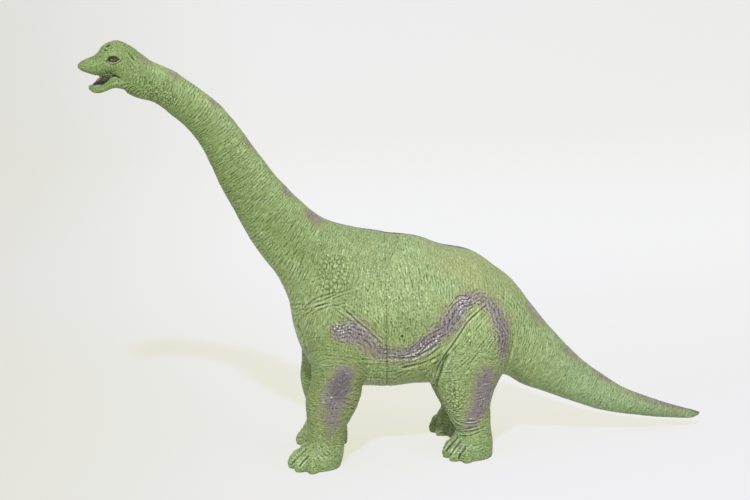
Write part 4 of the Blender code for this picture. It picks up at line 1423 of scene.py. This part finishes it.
def fibreMaterial():  # white polyester, with darker patches painted as the shade of its hollows, and fine crossing strands
    recipe = Recipe(bpy.data.materials.new("polyesterFibre"))
    place = recipe.add("TexCoord", output="Object")
    lumps = recipe.noise(place, 90.0, 3.0)
    bent = recipe.noise(place, 140.0, 2.0)
    strands = recipe.noise(recipe.scaled(place, (160.0, 900.0, 700.0)), 1.0, 4.0, 0.65)
    crossed = recipe.noise(recipe.scaled(place, (800.0, 190.0, 620.0)), 1.0, 4.0, 0.65)
    thread = abs(strands - 0.5) * 2 + abs(crossed - 0.5) * 1.4
    coat = recipe.mix(colour(236, 236, 230), colour(206, 208, 204), recipe.fade(lumps, 0.4, 0.68))
    coat = recipe.mix(coat, colour(178, 180, 176), recipe.fade(thread, 0.32, 0.02) * 0.55)
    bump = recipe.bump(thread + bent * 0.5, 0.9, 0.0008)
    return recipe.principled({"Base Color": coat, "Normal": bump, "Sheen Weight": 0.5,
                              "Roughness": recipe.fade(thread, 0.0, 0.5) * 0.15 + 0.8})


def glueMaterial():  # set contact glue, amber, with streaks and small bubbles
    recipe = Recipe(bpy.data.materials.new("amberGlue"))
    place = recipe.add("TexCoord", output="Object")
    streaks = recipe.noise(recipe.scaled(place, (40.0, 300.0, 300.0)), 1.0, 3.0)
    bubbles = recipe.noise(place, 1400.0, 1.0)
    coat = recipe.mix(colour(186, 158, 96), colour(150, 118, 62), recipe.fade(streaks, 0.38, 0.66))
    coat = recipe.mix(coat, colour(216, 198, 150), recipe.fade(bubbles, 0.66, 0.76) * 0.6)
    bump = recipe.bump(streaks + bubbles * 0.3, 0.5, 0.0004)
    return recipe.principled({"Base Color": coat, "Normal": bump,
                              "Roughness": recipe.fade(streaks, 0.2, 0.8) * 0.2 + 0.16})


def coverWith(thing, *materials):
    thing.data.materials.clear()
    for material in materials:
        thing.data.materials.append(material)


outside, inside, softFibre = vinylMaterial(), plainVinyl(), fibreMaterial()
for piece in (frontSkin, rearSkin):
    coverWith(piece, outside, inside)
for piece in fibreWads:
    coverWith(piece, softFibre)
glueRing = bpy.data.objects["waist_glue"]
coverWith(glueRing, glueMaterial())
print("materials: vinyl, fibre and glue mixed")

# floor, backdrop and lamps
studio = {
    "paper": (169, 166, 255), "bounce": (226, 226, 214),
    "white": (253, 254, 237), "cream": (232, 232, 203), "deepCream": (228, 229, 205),
    "near": (247, 246, 239), "nearLeft": (252, 253, 234),
    "width": 6.0, "front": -3.0, "bend": 1.4, "radius": 0.6, "top": 3.2, "steps": 24,
    "creamSide": (-0.5, 0.1), "backStart": (0.9, 2.1), "back": 0.35, "nearEnd": (0.75, 0.0),
    "glow": 0.74, "power": 1.1, "world": 0.52, "seenWorld": 0.94, "air": (255, 249, 228),
}


def makeSweep():
    profile = [(studio["front"], 0.0), (studio["bend"], 0.0)]
    for step in range(1, studio["steps"] + 1):
        turn = np.pi / 2 * step / studio["steps"]
        profile.append((studio["bend"] + studio["radius"] * sin(turn), studio["radius"] * (1 - cos(turn))))
    profile.append((profile[-1][0], studio["top"]))
    points, faces = [], []
    for y, z in profile:
        points += [(-studio["width"] / 2, y, z), (studio["width"] / 2, y, z)]
    for number in range(len(profile) - 1):
        first = number * 2
        faces.append([first, first + 1, first + 3, first + 2])
    sweep = newObject("studioSweep", newMesh("studioSweep", np.array(points), faces))
    sweep.data.shade_smooth()
    recipe = Recipe(bpy.data.materials.new("paperSweep"))
    x, y, z = recipe.parts(recipe.add("TexCoord", output="Object"))
    # the glow holds painted falloff of the light: creamier and darker towards the left and at the back,
    # dimmer near the front
    toRight = recipe.fade(x, *studio["creamSide"])
    tone = recipe.mix(colour(*studio["cream"]), colour(*studio["white"]), toRight)
    atBack = recipe.fade(y, *studio["backStart"]) * studio["back"]
    tone = recipe.mix(tone, colour(*studio["deepCream"]), atBack)
    near = recipe.mix(colour(*studio["nearLeft"]), colour(*studio["near"]), toRight)
    tone = recipe.mix(tone, near, recipe.fade(y, *studio["nearEnd"]), "MULTIPLY")
    direct = recipe.seenDirectly()
    paper = recipe.add("BsdfDiffuse", {}, {
        "Color": recipe.mix(colour(*studio["bounce"]), colour(*studio["paper"]), direct)})
    glow = recipe.add("Emission", {}, {"Color": tone, "Strength": studio["power"]})
    share = direct * studio["glow"]
    sweep.data.materials.append(recipe.finish(recipe.add("MixShader", {}, {0: share, 1: paper, 2: glow})))


makeSweep()

lampAim = Vector((0, 0, 0.15))
lamps = {  # azimuth and height in degrees, distance and size in metres
    "key": {"azimuth": -15.0, "height": 47.0, "distance": 2.6, "size": 0.11, "power": 52.0,
            "colour": (247, 250, 255)},
    "side": {"azimuth": 32.0, "height": 24.0, "distance": 2.4, "size": 0.9, "power": 6.0},
    "top": {"azimuth": 0.0, "height": 86.0, "distance": 2.3, "size": 1.8, "power": 6.0},
    "glint": {"azimuth": -10.0, "height": 20.0, "distance": 2.2, "size": 0.1, "power": 3.0},
}
for name, lamp in lamps.items():
    light = bpy.data.lights.new(name + "Lamp", "AREA")
    light.energy = lamp["power"]
    light.size = lamp["size"]
    light.color = colour(*lamp.get("colour", (255, 255, 255)))[:3]
    thing = newObject(name + "Lamp", light)
    azimuth, rise = radians(lamp["azimuth"]), radians(lamp["height"])
    away = Vector((sin(azimuth) * cos(rise), -cos(azimuth) * cos(rise), sin(rise)))
    thing.location = lampAim + away * lamp["distance"]
    thing.rotation_euler = (-away).to_track_quat("-Z", "Y").to_euler()


def makeAir():
    world = bpy.data.worlds.new("studioAir")
    recipe = Recipe(world)
    direct = recipe.seenDirectly()
    strength = direct * (studio["seenWorld"] - studio["world"]) + studio["world"]
    air = recipe.add("Background", {}, {"Color": colour(*studio["air"]), "Strength": strength})
    bpy.context.scene.world = recipe.finish(air, "World")


makeAir()
bpy.context.scene.view_settings.view_transform = "Standard"
print("studio: sweep and lamps placed")

bpy.context.view_layer.update()
